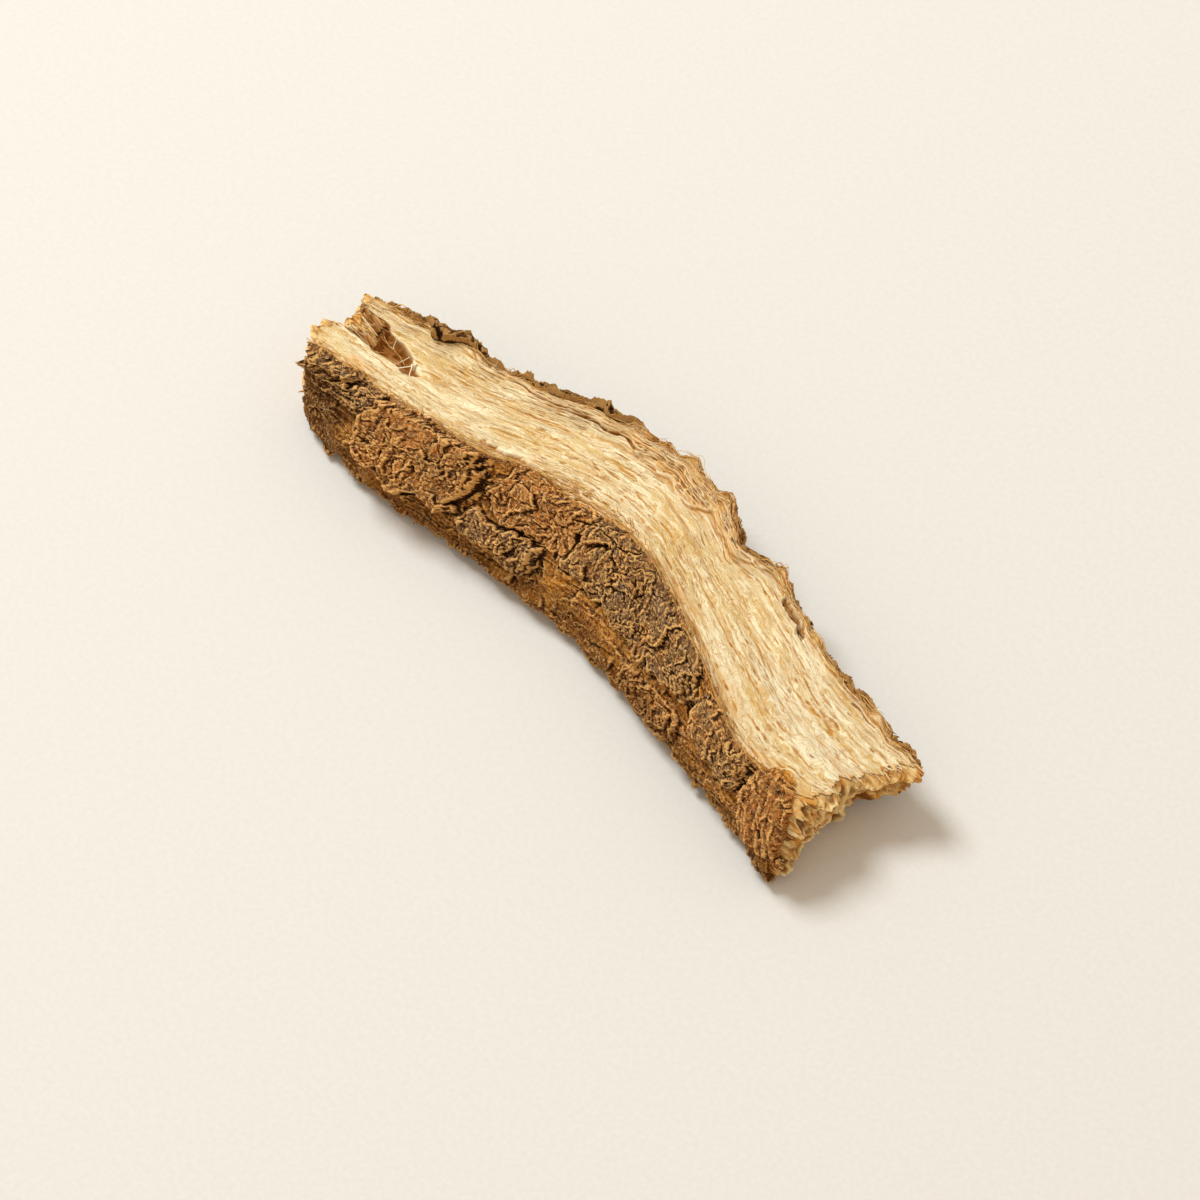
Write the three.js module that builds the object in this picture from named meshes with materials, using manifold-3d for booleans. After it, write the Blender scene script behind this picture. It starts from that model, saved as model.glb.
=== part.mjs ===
// A strip of dried root bark, broken off a root about 60 mm thick and dried into a bow.
// It lies on its rounded corky back with the pale fibrous inner face up.
// Units are millimetres. +X runs along the strip, +Y to its far rim, +Z up, and the floor is z = 0.
import * as THREE from "three";
import { mergeVertices } from "three/addons/utils/BufferGeometryUtils.js";
import Module from "manifold-3d";

// Driving outlines, each a list of [x, value], read along the strip from its upper torn end to its lower one.
const NEAR_FOOT = [[-46, -6.3], [-40, -8.4], [-32, -9.6], [-16, -7.7], [0, -6.1], [12, -6.7], [24, -8.4], [42, -11.4]];
const NEAR_RIM = [[-46, -5.4], [-38, -4.6], [-28, -3.3], [-18, -0.8], [-9, 2.2], [0, 3.2], [8, 1.5], [18, -2.2],
  [27, -5.8], [34, -6.6], [42, -5.6]];
const FAR_RIM = [[-46, 5.0], [-37, 7.0], [-24, 9.7], [-13, 13.5], [-3, 15.4], [8, 13.2], [18, 11.4], [29, 8.4], [42, 7.7]];
const NEAR_TOP = [[-46, 9.0], [-28, 10.0], [0, 11.0], [24, 10.2], [42, 9.2]];
const FAR_TOP = [[-46, 7.4], [-20, 8.4], [0, 8.8], [20, 8.4], [42, 7.8]];
const FOOT_HEIGHT = 2.4; // where the near flank bulges furthest out
const FACE_DIP = 0.7; // how far the inner face sinks between its rims
const RIM_WIDTH = 1.2; // the corky edge along the far rim

// Where the torn ends stop, by the share of the way round from the near rim under the strip and back over the face.
const UPPER_END = [[0, -43.6], [0.15, -42.8], [0.3, -42.4], [0.38, -43.2], [0.47, -44.2], [0.56, -44.8], [0.61, -44.6],
  [0.7, -45.6], [0.79, -43.6], [0.9, -44.9], [1, -43.6]];
const LOWER_END = [[0, 36.4], [0.15, 38.0], [0.3, 38.6], [0.34, 38.3], [0.38, 36.6], [0.42, 36.2], [0.45, 37.0],
  [0.47, 38.4], [0.52, 40.2], [0.58, 41.2], [0.68, 40.9], [0.76, 40.0], [0.84, 38.2], [0.92, 37.7], [1, 36.4]];
const TEAR_JAG = 1.3; // how far single fibre bundles break short of those lines, or past them
const TEAR_HOLLOW = 1.4; // how far the middle of a torn end is pulled in

// How finely the skin is divided: columns over the bark and over the inner face, rings along, loops on each torn end.
// The bark columns crowd on the near flank. BARK_SPREAD pairs a column with its share of the way round the bark.
const BARK_COLUMNS = 38;
const FACE_COLUMNS = 24;
const BARK_SPREAD = [[0, 0], [19, 0.33], [29, 0.78], [38, 1]];
const RINGS = 74;
const END_LOOPS = 3;
const END_LINE = 0.7; // length of the line a torn end closes on, as a share of its width
const NORMAL_STEP = 0.05;

// The corky crust. Each plate is a patch that never flaked off: place along the strip, distance round the bark
// from the near rim, half its length, half its width, and how thick it stands.
const GIRTH = 36; // nominal length of the bark outline from rim to rim
const PLATES = [
  { x: -38.2, q: 2.4, long: 6.4, wide: 3.2, thick: 0.9 },
  { x: -24.8, q: 4.8, long: 7.8, wide: 4.6, thick: 1.6 },
  { x: -9.2, q: 2.6, long: 6.2, wide: 3.6, thick: 0.8 },
  { x: -11.0, q: 8.2, long: 5.2, wide: 1.8, thick: 1.0 },
  { x: 8.0, q: 3.0, long: 11.6, wide: 4.2, thick: 1.2 },
  { x: 14.6, q: 10.0, long: 5.2, wide: 2.2, thick: 0.8 },
  { x: 25.6, q: 3.4, long: 5.2, wide: 3.8, thick: 0.9 },
  { x: 35.6, q: 4.6, long: 4.2, wide: 5.4, thick: 0.8 },
];
const PLATE_EDGE = 0.16; // share of a plate's half size over which its edge drops
const BACK_FROM = 11.5; // past this distance from the near rim the crust is a close pavement of scales
const SCALE_LONG = 7;
const SCALE_WIDE = 4;
const SCALE_THICK = 0.8;
const CRUST_WARP = 1.1; // wander of every crust edge
const CRUST_ROUGH = 0.26;
const UNDERLAYER_RIDGE = 0.3; // lengthwise ridges of the fibrous layer laid bare between the plates

// Lobes of bark that stand out of the far rim: place, half length, and how far out.
const RIM_LOBES = [
  { x: -32.5, half: 2.6, out: 0.9 },
  { x: -14, half: 6.5, out: 0.4 },
  { x: -3.4, half: 2.0, out: 0.9 },
  { x: 3.2, half: 2.2, out: 1.0 },
  { x: 8.6, half: 3.0, out: -0.9 },
  { x: 14.6, half: 3.4, out: 1.0 },
  { x: 31.4, half: 2.6, out: 0.6 },
];

// Splits in the inner face: along it from and to, across it as a share from near rim to far rim at both ends,
// half width and depth.
const SPLITS = [
  { from: -24, to: 3, start: 0.82, end: 0.84, half: 0.6, deep: 1.0 },
  { from: -20, to: -11, start: 0.07, end: 0.14, half: 0.4, deep: 0.7 },
  { from: 8, to: 31, start: 0.03, end: 0.05, half: 0.45, deep: 0.8 },
  { from: 10.5, to: 17, start: 0.85, end: 0.83, half: 0.9, deep: 2.0 },
];
// The gash at the upper end, where the inner fibres parted and show the darker layer below.
const GASH = { tip: -33.0, mouth: -45.5, tipShare: 0.34, mouthShare: 0.56, mouthHalf: 0.2, deep: 2.4 };
const FIBRE_RIDGE = 0.28; // height of the ridges that the fibre bundles make
const FIBRE_ACROSS = 1.7;
const FIBRE_ALONG = 16;
const FLUTE = { from: 4, full: 20, deep: 0.4, count: 3.5 };

// Splinters left standing on the torn ends.
const SPLINTERS_AN_END = 13;
const SPLINTER_SIDES = 4;
const SPLINTER_ROOT = 2.0; // how deep each is rooted
const SNAP = 0.003; // corners closer than this become one

// A share from 0 to 1 that belongs to a pair of whole numbers and a seed, always the same one.
function chance(i, j, seed) {
  let h = Math.imul(i, 374761393) + Math.imul(j, 668265263) + Math.imul(seed, 974634777);
  h = Math.imul(h ^ (h >>> 13), 1274126177);
  return ((h ^ (h >>> 16)) >>> 0) / 4294967296;
}

const ease = (t) => t * t * (3 - 2 * t);
const step = (low, high, x) => ease(THREE.MathUtils.clamp((x - low) / (high - low), 0, 1));

// Smooth noise from -1 to 1 with features about one unit apart.
function noise(u, v, seed) {
  const i = Math.floor(u);
  const j = Math.floor(v);
  const s = ease(u - i);
  const t = ease(v - j);
  const low = THREE.MathUtils.lerp(chance(i, j, seed), chance(i + 1, j, seed), s);
  const high = THREE.MathUtils.lerp(chance(i, j + 1, seed), chance(i + 1, j + 1, seed), s);
  return 2 * THREE.MathUtils.lerp(low, high, t) - 1;
}

// A smooth curve through a list of [x, value].
function along(keys, x) {
  const last = keys.length - 2;
  const at = THREE.MathUtils.clamp(x, keys[0][0], keys[last + 1][0]);
  let i = 0;
  while (i < last && at >= keys[i + 1][0]) i++;
  const slope = (k) => (keys[k + 1][1] - keys[k][1]) / (keys[k + 1][0] - keys[k][0]);
  const before = i > 0 ? (slope(i - 1) + slope(i)) / 2 : slope(i);
  const after = i < last ? (slope(i) + slope(i + 1)) / 2 : slope(i);
  const span = keys[i + 1][0] - keys[i][0];
  const t = (at - keys[i][0]) / span;
  const rise = keys[i][1] * (1 + 2 * t) * (1 - t) ** 2 + keys[i + 1][1] * t * t * (3 - 2 * t);
  return rise + span * t * (before * (1 - t) ** 2 + after * t * (t - 1));
}

// The far rim, with its lobes.
function farRim(x) {
  let y = along(FAR_RIM, x) + 0.35 * noise(x / 2.2, 0, 3);
  for (const lobe of RIM_LOBES) y += lobe.out * ease(Math.max(0, 1 - Math.abs(x - lobe.x) / lobe.half));
  return y;
}

// The bark side of the section at x, as a curve in (y, z) from the near rim down, under and up to the far rim.
function barkOutline(x) {
  const foot = along(NEAR_FOOT, x);
  const near = along(NEAR_RIM, x) + 0.3 * noise(x / 2.6, 0, 5);
  const far = farRim(x);
  const top = along(NEAR_TOP, x);
  const farTop = along(FAR_TOP, x);
  const rise = top - FOOT_HEIGHT;
  const width = far - foot;
  return new THREE.SplineCurve([
    new THREE.Vector2(near, top),
    new THREE.Vector2(near + 0.4 * (foot - near), FOOT_HEIGHT + 0.75 * rise),
    new THREE.Vector2(near + 0.78 * (foot - near), FOOT_HEIGHT + 0.42 * rise),
    new THREE.Vector2(foot, FOOT_HEIGHT),
    new THREE.Vector2(foot + 0.1 * width, 0.7),
    new THREE.Vector2(foot + 0.3 * width, 0.3),
    new THREE.Vector2(foot + 0.56 * width, 0.5),
    new THREE.Vector2(foot + 0.8 * width, 1.9),
    new THREE.Vector2(far - 0.4, farTop * 0.52),
    new THREE.Vector2(far, farTop),
  ]);
}

// The inner face of the section at x, as a curve in (y, z) from the near rim over to the far rim.
function faceOutline(x) {
  const near = along(NEAR_RIM, x) + 0.3 * noise(x / 2.6, 0, 5);
  const far = farRim(x);
  const top = along(NEAR_TOP, x);
  const farTop = along(FAR_TOP, x);
  const width = far - near;
  return new THREE.SplineCurve([
    new THREE.Vector2(near, top),
    new THREE.Vector2(near + 0.34 * width, farTop + 0.66 * (top - farTop) - FACE_DIP),
    new THREE.Vector2(near + 0.68 * width, farTop + 0.32 * (top - farTop) - FACE_DIP),
    new THREE.Vector2(far - RIM_WIDTH, farTop + 0.4),
    new THREE.Vector2(far, farTop),
  ]);
}

// How far the crust stands out at x and distance q round the bark.
function barkRelief(x, q) {
  const wx = x + CRUST_WARP * noise(x / 3.1, q / 2.6, 11);
  const wq = q + CRUST_WARP * noise(x / 3.1, q / 2.6, 12);
  let height = 0;
  for (const plate of PLATES) {
    const out = Math.max(Math.abs(wx - plate.x) / plate.long, Math.abs(wq - plate.q) / plate.wide);
    height = Math.max(height, plate.thick * (1 - step(1 - PLATE_EDGE, 1 + PLATE_EDGE, out)));
  }
  height = Math.max(height, step(BACK_FROM, BACK_FROM + 2, q) * scales(wx, wq));
  const bare = 1 - step(0, 0.4, height);
  return height + CRUST_ROUGH * noise(x / 2.4, q / 1.5, 13) + bare * UNDERLAYER_RIDGE * noise(x / 7, q / 1.1, 15);
}

// The pavement of scales under the strip: each cell has its own thickness, with a fissure where two cells meet.
function scales(x, q) {
  const u = x / SCALE_LONG;
  const v = q / SCALE_WIDE;
  let nearest = 9;
  let second = 9;
  let thick = 0;
  for (let i = Math.floor(u) - 1; i <= Math.floor(u) + 1; i++) {
    for (let j = Math.floor(v) - 1; j <= Math.floor(v) + 1; j++) {
      const reach = Math.hypot(u - i - chance(i, j, 21), v - j - chance(i, j, 22));
      if (reach < nearest) {
        second = nearest;
        nearest = reach;
        thick = SCALE_THICK * (0.35 + 0.65 * chance(i, j, 23));
      } else if (reach < second) {
        second = reach;
      }
    }
  }
  return thick * step(0.02, 0.22, second - nearest);
}

// How far the inner face stands out at x and the share p of the way from the near rim to the far rim.
function faceRelief(x, p) {
  const width = farRim(x) - along(NEAR_RIM, x);
  const lane = p * width;
  const bend = 0.8 * noise(x / 9, p * 3, 31);
  let height = FIBRE_RIDGE * noise(x / FIBRE_ALONG, (lane + bend) / FIBRE_ACROSS, 32);
  height += 0.6 * FIBRE_RIDGE * noise(x / 7, (lane + bend) / 0.8, 33);
  height -= FLUTE.deep * step(FLUTE.from, FLUTE.full, x) * (0.5 - 0.5 * Math.cos(2 * Math.PI * FLUTE.count * p));
  for (const split of SPLITS) {
    const run = (x - split.from) / (split.to - split.from);
    if (run <= 0 || run >= 1) continue;
    const off = Math.abs(p - THREE.MathUtils.lerp(split.start, split.end, run)) * width;
    height -= split.deep * Math.sin(Math.PI * run) ** 0.5 * (1 - step(0.3 * split.half, 1.3 * split.half, off));
  }
  return height - gash(x, p);
}

// Depth of the gash at the upper end.
function gash(x, p) {
  const open = (GASH.tip - x) / (GASH.tip - GASH.mouth);
  if (open <= 0) return 0;
  const centre = THREE.MathUtils.lerp(GASH.tipShare, GASH.mouthShare, open);
  const half = GASH.mouthHalf * Math.min(1, open ** 0.7);
  const inside = 1 - step(0.1, 1.2, Math.abs(p - centre) / half);
  return GASH.deep * inside * step(0, 0.25, open);
}

// The skin of the strip. A column is a line along it: columns 0 to BARK_COLUMNS go round the bark, the rest come
// back over the inner face.
const COLUMNS = BARK_COLUMNS + FACE_COLUMNS;

function shareOf(column) {
  return column <= BARK_COLUMNS ? along(BARK_SPREAD, column) : (COLUMNS - column) / FACE_COLUMNS;
}

function plain(x, column) {
  const outline = column <= BARK_COLUMNS ? barkOutline(x) : faceOutline(x);
  const at = outline.getPoint(shareOf(column));
  return new THREE.Vector3(x, at.x, at.y);
}

// The outward direction, from the neighbouring points along and round.
function outward(x, column) {
  const ahead = plain(x + NORMAL_STEP, column).sub(plain(x - NORMAL_STEP, column));
  const next = (column + 1) % COLUMNS;
  const last = (column + COLUMNS - 1) % COLUMNS;
  const round = plain(x, next).sub(plain(x, last));
  return round.cross(ahead).normalize();
}

function skin(x, column) {
  const point = plain(x, column);
  const share = shareOf(column);
  const onBark = column <= BARK_COLUMNS;
  const relief = onBark ? barkRelief(x, GIRTH * share) : faceRelief(x, share) * step(0, 0.05, Math.min(share, 1 - share));
  point.addScaledVector(outward(x, column), relief);
  point.z = Math.max(point.z, 0);
  return point;
}

// Where a column stops at each torn end.
function tear(keys, column, seed) {
  const round = column / COLUMNS;
  const bundle = noise(column * 0.37, 0, seed);
  const strand = chance(column, 1, seed) - 0.5;
  return along(keys, round) + TEAR_JAG * (0.5 * bundle + strand);
}

// The whole strip as one closed skin: rings along it, then loops that close each torn end.
function stripGeometry() {
  const points = [];
  for (let ring = 0; ring <= RINGS; ring++) {
    for (let column = 0; column < COLUMNS; column++) {
      const x = THREE.MathUtils.lerp(tear(UPPER_END, column, 41), tear(LOWER_END, column, 42), ring / RINGS);
      points.push(skin(x, column));
    }
  }
  const faces = [];
  const quad = (a, b, c, d) => faces.push(a, b, c, a, c, d);
  for (let ring = 0; ring < RINGS; ring++) {
    for (let column = 0; column < COLUMNS; column++) {
      const next = (column + 1) % COLUMNS;
      const row = ring * COLUMNS;
      quad(row + column, row + next, row + COLUMNS + next, row + COLUMNS + column);
    }
  }
  closeEnd(points, faces, 0, 1);
  closeEnd(points, faces, RINGS * COLUMNS, -1);
  const positions = points.flatMap((point) => point.toArray());
  const geometry = new THREE.BufferGeometry();
  geometry.setAttribute("position", new THREE.Float32BufferAttribute(positions, 3));
  geometry.setIndex(faces);
  return geometry;
}

// Closes a torn end with loops that shrink to a level line through its middle. Inward is +1 at the upper end and -1
// at the lower one.
function closeEnd(points, faces, first, inward) {
  const rim = points.slice(first, first + COLUMNS);
  const middle = rim.reduce((sum, point) => sum.add(point), new THREE.Vector3()).divideScalar(COLUMNS);
  middle.x += inward * TEAR_HOLLOW;
  const triangle = (a, b, c) => (inward > 0 ? faces.push(a, c, b) : faces.push(a, b, c));
  let outer = first;
  for (let loop = 1; loop <= END_LOOPS; loop++) {
    const inner = points.length;
    const share = loop / (END_LOOPS + 0.4);
    rim.forEach((point, column) => {
      const core = middle.clone().setY(THREE.MathUtils.lerp(middle.y, point.y, END_LINE));
      const moved = point.clone().lerp(core, share);
      moved.x += TEAR_JAG * (chance(column, loop, 51 + inward) - 0.5);
      points.push(moved);
      const next = (column + 1) % COLUMNS;
      triangle(outer + column, outer + next, inner + next);
      triangle(outer + column, inner + next, inner + column);
    });
    outer = inner;
  }
  const hub = points.length;
  points.push(middle);
  for (let column = 0; column < COLUMNS; column++) triangle(outer + column, outer + ((column + 1) % COLUMNS), hub);
}

// One blunt splinter, rooted in a torn end and standing out of it.
function splinterGeometry(root, length, width, lean, outwards) {
  const stub = new THREE.CylinderGeometry(0.2 * width, width / 2, length + SPLINTER_ROOT, SPLINTER_SIDES);
  stub.translate(0, (length - SPLINTER_ROOT) / 2, 0);
  stub.rotateZ((-Math.PI / 2) * outwards);
  stub.rotateY(lean.x * outwards);
  stub.rotateZ(lean.y);
  stub.translate(root.x, root.y, root.z);
  return stub;
}

const wasm = await Module();
wasm.setup();

function toSolid(geometry, snap = 1e-4) {
  const bare = geometry.clone();
  bare.deleteAttribute("normal");
  bare.deleteAttribute("uv");
  const merged = mergeVertices(bare, snap);
  return new wasm.Manifold(
    new wasm.Mesh({
      numProp: 3,
      vertProperties: merged.attributes.position.array,
      triVerts: new Uint32Array(merged.index.array),
    }),
  );
}

function toGeometry(solid) {
  const mesh = solid.getMesh();
  const geometry = new THREE.BufferGeometry();
  geometry.setAttribute("position", new THREE.BufferAttribute(mesh.vertProperties, 3));
  geometry.setIndex(new THREE.BufferAttribute(mesh.triVerts, 1));
  geometry.computeVertexNormals();
  return geometry;
}

// The strip with its splinters fused on. They stand round each torn end, a little inside its edge. Only the outer
// skin is kept, so no pinhole stays shut between crossed splinters.
function barkSolid() {
  let solid = toSolid(stripGeometry());
  for (const [ring, outwards, seed] of [[0, -1, 61], [RINGS, 1, 62]]) {
    for (let k = 0; k < SPLINTERS_AN_END; k++) {
      const column = Math.round(((k + 0.6 * chance(k, 1, seed)) * COLUMNS) / SPLINTERS_AN_END) % COLUMNS;
      const keys = ring === 0 ? UPPER_END : LOWER_END;
      const edge = skin(tear(keys, column, ring === 0 ? 41 : 42) - outwards * 0.4, column);
      edge.addScaledVector(outward(edge.x, column), -1.1 - 1.2 * chance(k, 2, seed));
      const width = 1.2 + 0.9 * chance(k, 3, seed);
      edge.z = Math.max(edge.z, width);
      const length = 0.9 + 1.3 * chance(k, 4, seed);
      const lean = new THREE.Vector2(chance(k, 5, seed) - 0.5, chance(k, 6, seed) - 0.5).multiplyScalar(0.3);
      solid = solid.add(toSolid(splinterGeometry(edge, length, width, lean, outwards)));
    }
  }
  const snapped = toSolid(toGeometry(solid), SNAP);
  return snapped.decompose().reduce((most, body) => (body.volume() > most.volume() ? body : most));
}

const driedRootBark = new THREE.MeshStandardMaterial({ color: 0xc9a26a, roughness: 0.92, metalness: 0 });

const root = new THREE.Group();
const strip = new THREE.Mesh(toGeometry(barkSolid()), driedRootBark);
strip.name = "root_bark_strip";
// The middle of its box stands over the origin.
strip.geometry.computeBoundingBox();
const middle = strip.geometry.boundingBox.getCenter(new THREE.Vector3());
strip.geometry.translate(-middle.x, -middle.y, 0);
root.add(strip);

export default root;
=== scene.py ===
# %% [markdown]
# # A strip of dried root bark
#
# The object is one strip torn from a thick root and dried until it bowed. Its back is cork that has cracked
# into plates, its inner face is a mat of straw-coloured fibres, and both ends are torn. It lies on its
# rounded back.
#
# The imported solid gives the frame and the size. Every piece made below is finer, and stands for that solid.

# %% Load the frame
import math

import bpy
import numpy as np
from mathutils import Matrix, Vector


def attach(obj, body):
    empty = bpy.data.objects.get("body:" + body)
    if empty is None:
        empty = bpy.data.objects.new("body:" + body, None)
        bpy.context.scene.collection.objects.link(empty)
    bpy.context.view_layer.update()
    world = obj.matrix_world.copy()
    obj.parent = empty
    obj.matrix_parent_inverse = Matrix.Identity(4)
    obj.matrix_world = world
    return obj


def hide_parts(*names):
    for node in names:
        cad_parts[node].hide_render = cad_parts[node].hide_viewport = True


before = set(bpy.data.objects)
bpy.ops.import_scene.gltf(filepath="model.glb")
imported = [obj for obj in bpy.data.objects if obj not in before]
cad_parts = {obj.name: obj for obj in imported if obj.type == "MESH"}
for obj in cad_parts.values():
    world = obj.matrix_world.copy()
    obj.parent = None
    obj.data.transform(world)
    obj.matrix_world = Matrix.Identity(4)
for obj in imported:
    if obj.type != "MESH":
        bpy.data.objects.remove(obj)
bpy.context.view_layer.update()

# %% [markdown]
# ## The outlines
#
# The strip is described by long lines seen along it: where its near flank stands, where its two rims run
# and how high they are. They are the same lines as in the solid, in millimetres. The strip's box has its
# middle over the origin, so MIDDLE is taken off at the very end.

# %% Long lines, as [x, value]
NEAR_FOOT = [(-46, -6.3), (-40, -8.4), (-32, -9.6), (-16, -7.7), (0, -6.1), (12, -6.7), (24, -8.4),
             (42, -11.4)]
NEAR_RIM = [(-46, -5.4), (-38, -4.6), (-28, -3.3), (-18, -0.8), (-9, 2.2), (0, 3.2), (8, 1.5), (18, -2.2),
            (27, -5.8), (34, -6.6), (42, -5.6)]
FAR_RIM = [(-46, 5.0), (-37, 7.0), (-24, 9.7), (-13, 13.5), (-3, 15.4), (8, 13.2), (18, 11.4), (29, 8.4),
           (42, 7.7)]
NEAR_TOP = [(-46, 9.0), (-28, 10.0), (0, 11.0), (24, 10.2), (42, 9.2)]
FAR_TOP = [(-46, 7.4), (-20, 8.4), (0, 8.8), (20, 8.4), (42, 7.8)]
FOOT_HEIGHT = 2.4
FACE_DIP = 0.7
RIM_WIDTH = 1.2
# The bark is GIRTH long round the section, and the face about FACE_WIDTH wide.
GIRTH = 36.0
FACE_WIDTH = 13.0
MIDDLE = np.array([-2.0689, 2.7212, 0.0])
# Past these, chips are pressed flat, so that the dressed strip keeps to the solid's box.
CEILING = 12.2
FAR_SIDE = 14.2

# Where the torn ends stop, by the share of the way round: under the strip from the near rim, then back over
# the face. Each end has its own seed too.
UPPER_END = [(0, -43.6), (0.15, -42.8), (0.3, -42.4), (0.38, -43.2), (0.47, -44.2), (0.56, -44.8),
             (0.61, -44.6), (0.7, -45.4), (0.79, -44.3), (0.9, -44.9), (1, -43.6)], 41
LOWER_END = [(0, 36.4), (0.15, 38.0), (0.3, 38.6), (0.34, 38.3), (0.38, 36.6), (0.42, 36.2), (0.45, 37.0),
             (0.47, 38.4), (0.52, 40.2), (0.58, 41.2), (0.68, 40.9), (0.76, 40.0), (0.84, 38.2), (0.92, 37.7),
             (1, 36.4)], 42
ROUND_OF_BARK = [(0, 0), (0.33, 0.306), (0.78, 0.468), (1, 0.613)]

# %% [markdown]
# ## Chance and noise
#
# Nothing on a broken piece of bark repeats, yet the picture has to come out the same each time. So each
# "random" share belongs to a pair of whole numbers and a seed, and noise is a smooth blend of such shares.
# Scattered cells give the cracks and scales of cork.

# %% Chance, noise and cells
def chance(i, j, seed):
    i, j = np.asarray(i, np.int64), np.asarray(j, np.int64)
    h = (i * 374761393 + j * 668265263 + seed * 974634777) & 0xFFFFFFFF
    h = ((h ^ (h >> 13)) * 1274126177) & 0xFFFFFFFF
    return ((h ^ (h >> 16)) & 0xFFFFFFFF) / 4294967296.0


def ease(t):
    return t * t * (3 - 2 * t)


def step(low, high, x):
    return ease(np.clip((x - low) / (high - low), 0, 1))


def noise(u, v, seed):
    u, v = np.broadcast_arrays(np.asarray(u, float), np.asarray(v, float))
    i, j = np.floor(u), np.floor(v)
    s, t = ease(u - i), ease(v - j)
    low = chance(i, j, seed) * (1 - s) + chance(i + 1, j, seed) * s
    high = chance(i, j + 1, seed) * (1 - s) + chance(i + 1, j + 1, seed) * s
    return 2 * (low * (1 - t) + high * t) - 1


def waves(u, v, *rows):
    """A sum of noises, each given as (amount, length along u, width along v, seed)."""
    return sum(amount * noise(u / long, v / wide, seed) for amount, long, wide, seed in rows)


def cells(u, v, seed):
    """The nearest of many scattered points: its distance, its lead on the next, its share, the way to it."""
    base_i, base_j = np.floor(u), np.floor(v)
    nearest = np.full(np.shape(u), 9.0)
    second = nearest.copy()
    own, du, dv = np.zeros((3, *np.shape(u)))
    for di in (-1, 0, 1):
        for dj in (-1, 0, 1):
            i, j = base_i + di, base_j + dj
            to_u, to_v = u - i - chance(i, j, seed), v - j - chance(i, j, seed + 1)
            reach = np.hypot(to_u, to_v)
            closer = reach < nearest
            second = np.where(closer, nearest, np.minimum(second, reach))
            own = np.where(closer, chance(i, j, seed + 2), own)
            du, dv = np.where(closer, to_u, du), np.where(closer, to_v, dv)
            nearest = np.where(closer, reach, nearest)
    return nearest, second - nearest, own, du, dv


def chips(u, v, seed, curl=0.5):
    """Chips that overlap like torn paper: each tilts its own way, turns up at its edge and ends in a step."""
    nearest, _, own, du, dv = cells(u, v, seed)
    turn = 40 * own
    return own - 0.5 + 0.9 * (du * np.cos(turn) + dv * np.sin(turn)) + curl * nearest ** 2


def smeared(values, rings, columns):
    """The mean over a window that reaches so many rings and columns each way."""
    for axis, reach in ((0, rings), (1, columns)):
        first, last = values.take([0], axis), values.take([-1], axis)
        before, after = np.repeat(first, reach + 1, axis), np.repeat(last, reach, axis)
        padded = np.concatenate([before, values, after], axis)
        total, count = np.cumsum(padded, axis), values.shape[axis]
        there = np.arange(count)
        values = (total.take(there + 2 * reach + 1, axis) - total.take(there, axis)) / (2 * reach + 1)
    return values


def thin_lines(u, v, seed, width):
    """1 on the thin lines where the noise crosses zero, 0 away from them."""
    return 1 - step(0, width, np.abs(noise(u, v, seed)))


print("a share:", float(chance(3, 7, 1)), "a noise value:", float(noise(0.4, 0.7, 2)))

# %% [markdown]
# ## The section
#
# At each place along the strip the section is two smooth curves: the bark side, from the near rim down the
# flank, under and up to the far rim, and the inner face from rim to rim. One number q runs round both in
# millimetres: it is 0 on the near rim, grows down the bark, and below 0 or past GIRTH it runs over the edge
# onto the inner face.

# %% Curves of the section
def along(keys, x):
    """A smooth curve through (x, value) pairs."""
    knots = np.array([k[0] for k in keys], float)
    values = np.array([k[1] for k in keys], float)
    slopes = np.diff(values) / np.diff(knots)
    tangents = np.concatenate([slopes[:1], (slopes[:-1] + slopes[1:]) / 2, slopes[-1:]])
    x = np.clip(x, knots[0], knots[-1])
    i = np.clip(np.searchsorted(knots, x, side="right") - 1, 0, len(knots) - 2)
    span = knots[i + 1] - knots[i]
    t = (x - knots[i]) / span
    bend = span * t * (tangents[i] * (1 - t) ** 2 + tangents[i + 1] * t * (t - 1))
    return values[i] * (1 + 2 * t) * (1 - t) ** 2 + values[i + 1] * t * t * (3 - 2 * t) + bend


def spline(points, share):
    """A smooth curve through points, each an array, at a share from 0 to 1."""
    share, *points = np.broadcast_arrays(share, *points)
    points = np.stack(points)
    last = len(points) - 1
    at = np.clip(share, 0, 1) * last
    i = np.minimum(np.floor(at).astype(int), last - 1)
    w = at - i
    pick = lambda k: np.take_along_axis(points, np.clip(k, 0, last)[None], 0)[0]
    a, b, c, d = pick(i - 1), pick(i), pick(i + 1), pick(i + 2)
    m, n = (c - a) / 2, (d - b) / 2
    return (2 * b - 2 * c + m + n) * w ** 3 + (-3 * b + 3 * c - 2 * m - n) * w ** 2 + m * w + b


# Where the far rim bulges: place, half length, and how far out.
RIM_LOBES = [(-32.5, 2.6, 0.9), (-14, 6.5, 0.4), (-3.4, 2.0, 0.9), (3.2, 2.2, 1.0), (8.6, 3.0, -0.9),
             (14.6, 3.4, 1.0), (31.4, 2.6, 0.6)]
# How far out the near rim's middle stands past the solid's, as in the photo.
NEAR_BULGE = 0.95


def near_rim(x):
    bulge = NEAR_BULGE * step(-15, -8, x) * step(4, -4, x)
    return along(NEAR_RIM, x) - bulge + 0.3 * noise(x / 2.6, 0, 5)


def far_rim(x):
    y = along(FAR_RIM, x) + 0.35 * noise(x / 2.2, 0, 3)
    for place, half, out in RIM_LOBES:
        y = y + out * ease(np.maximum(0, 1 - np.abs(x - place) / half))
    return y


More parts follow.
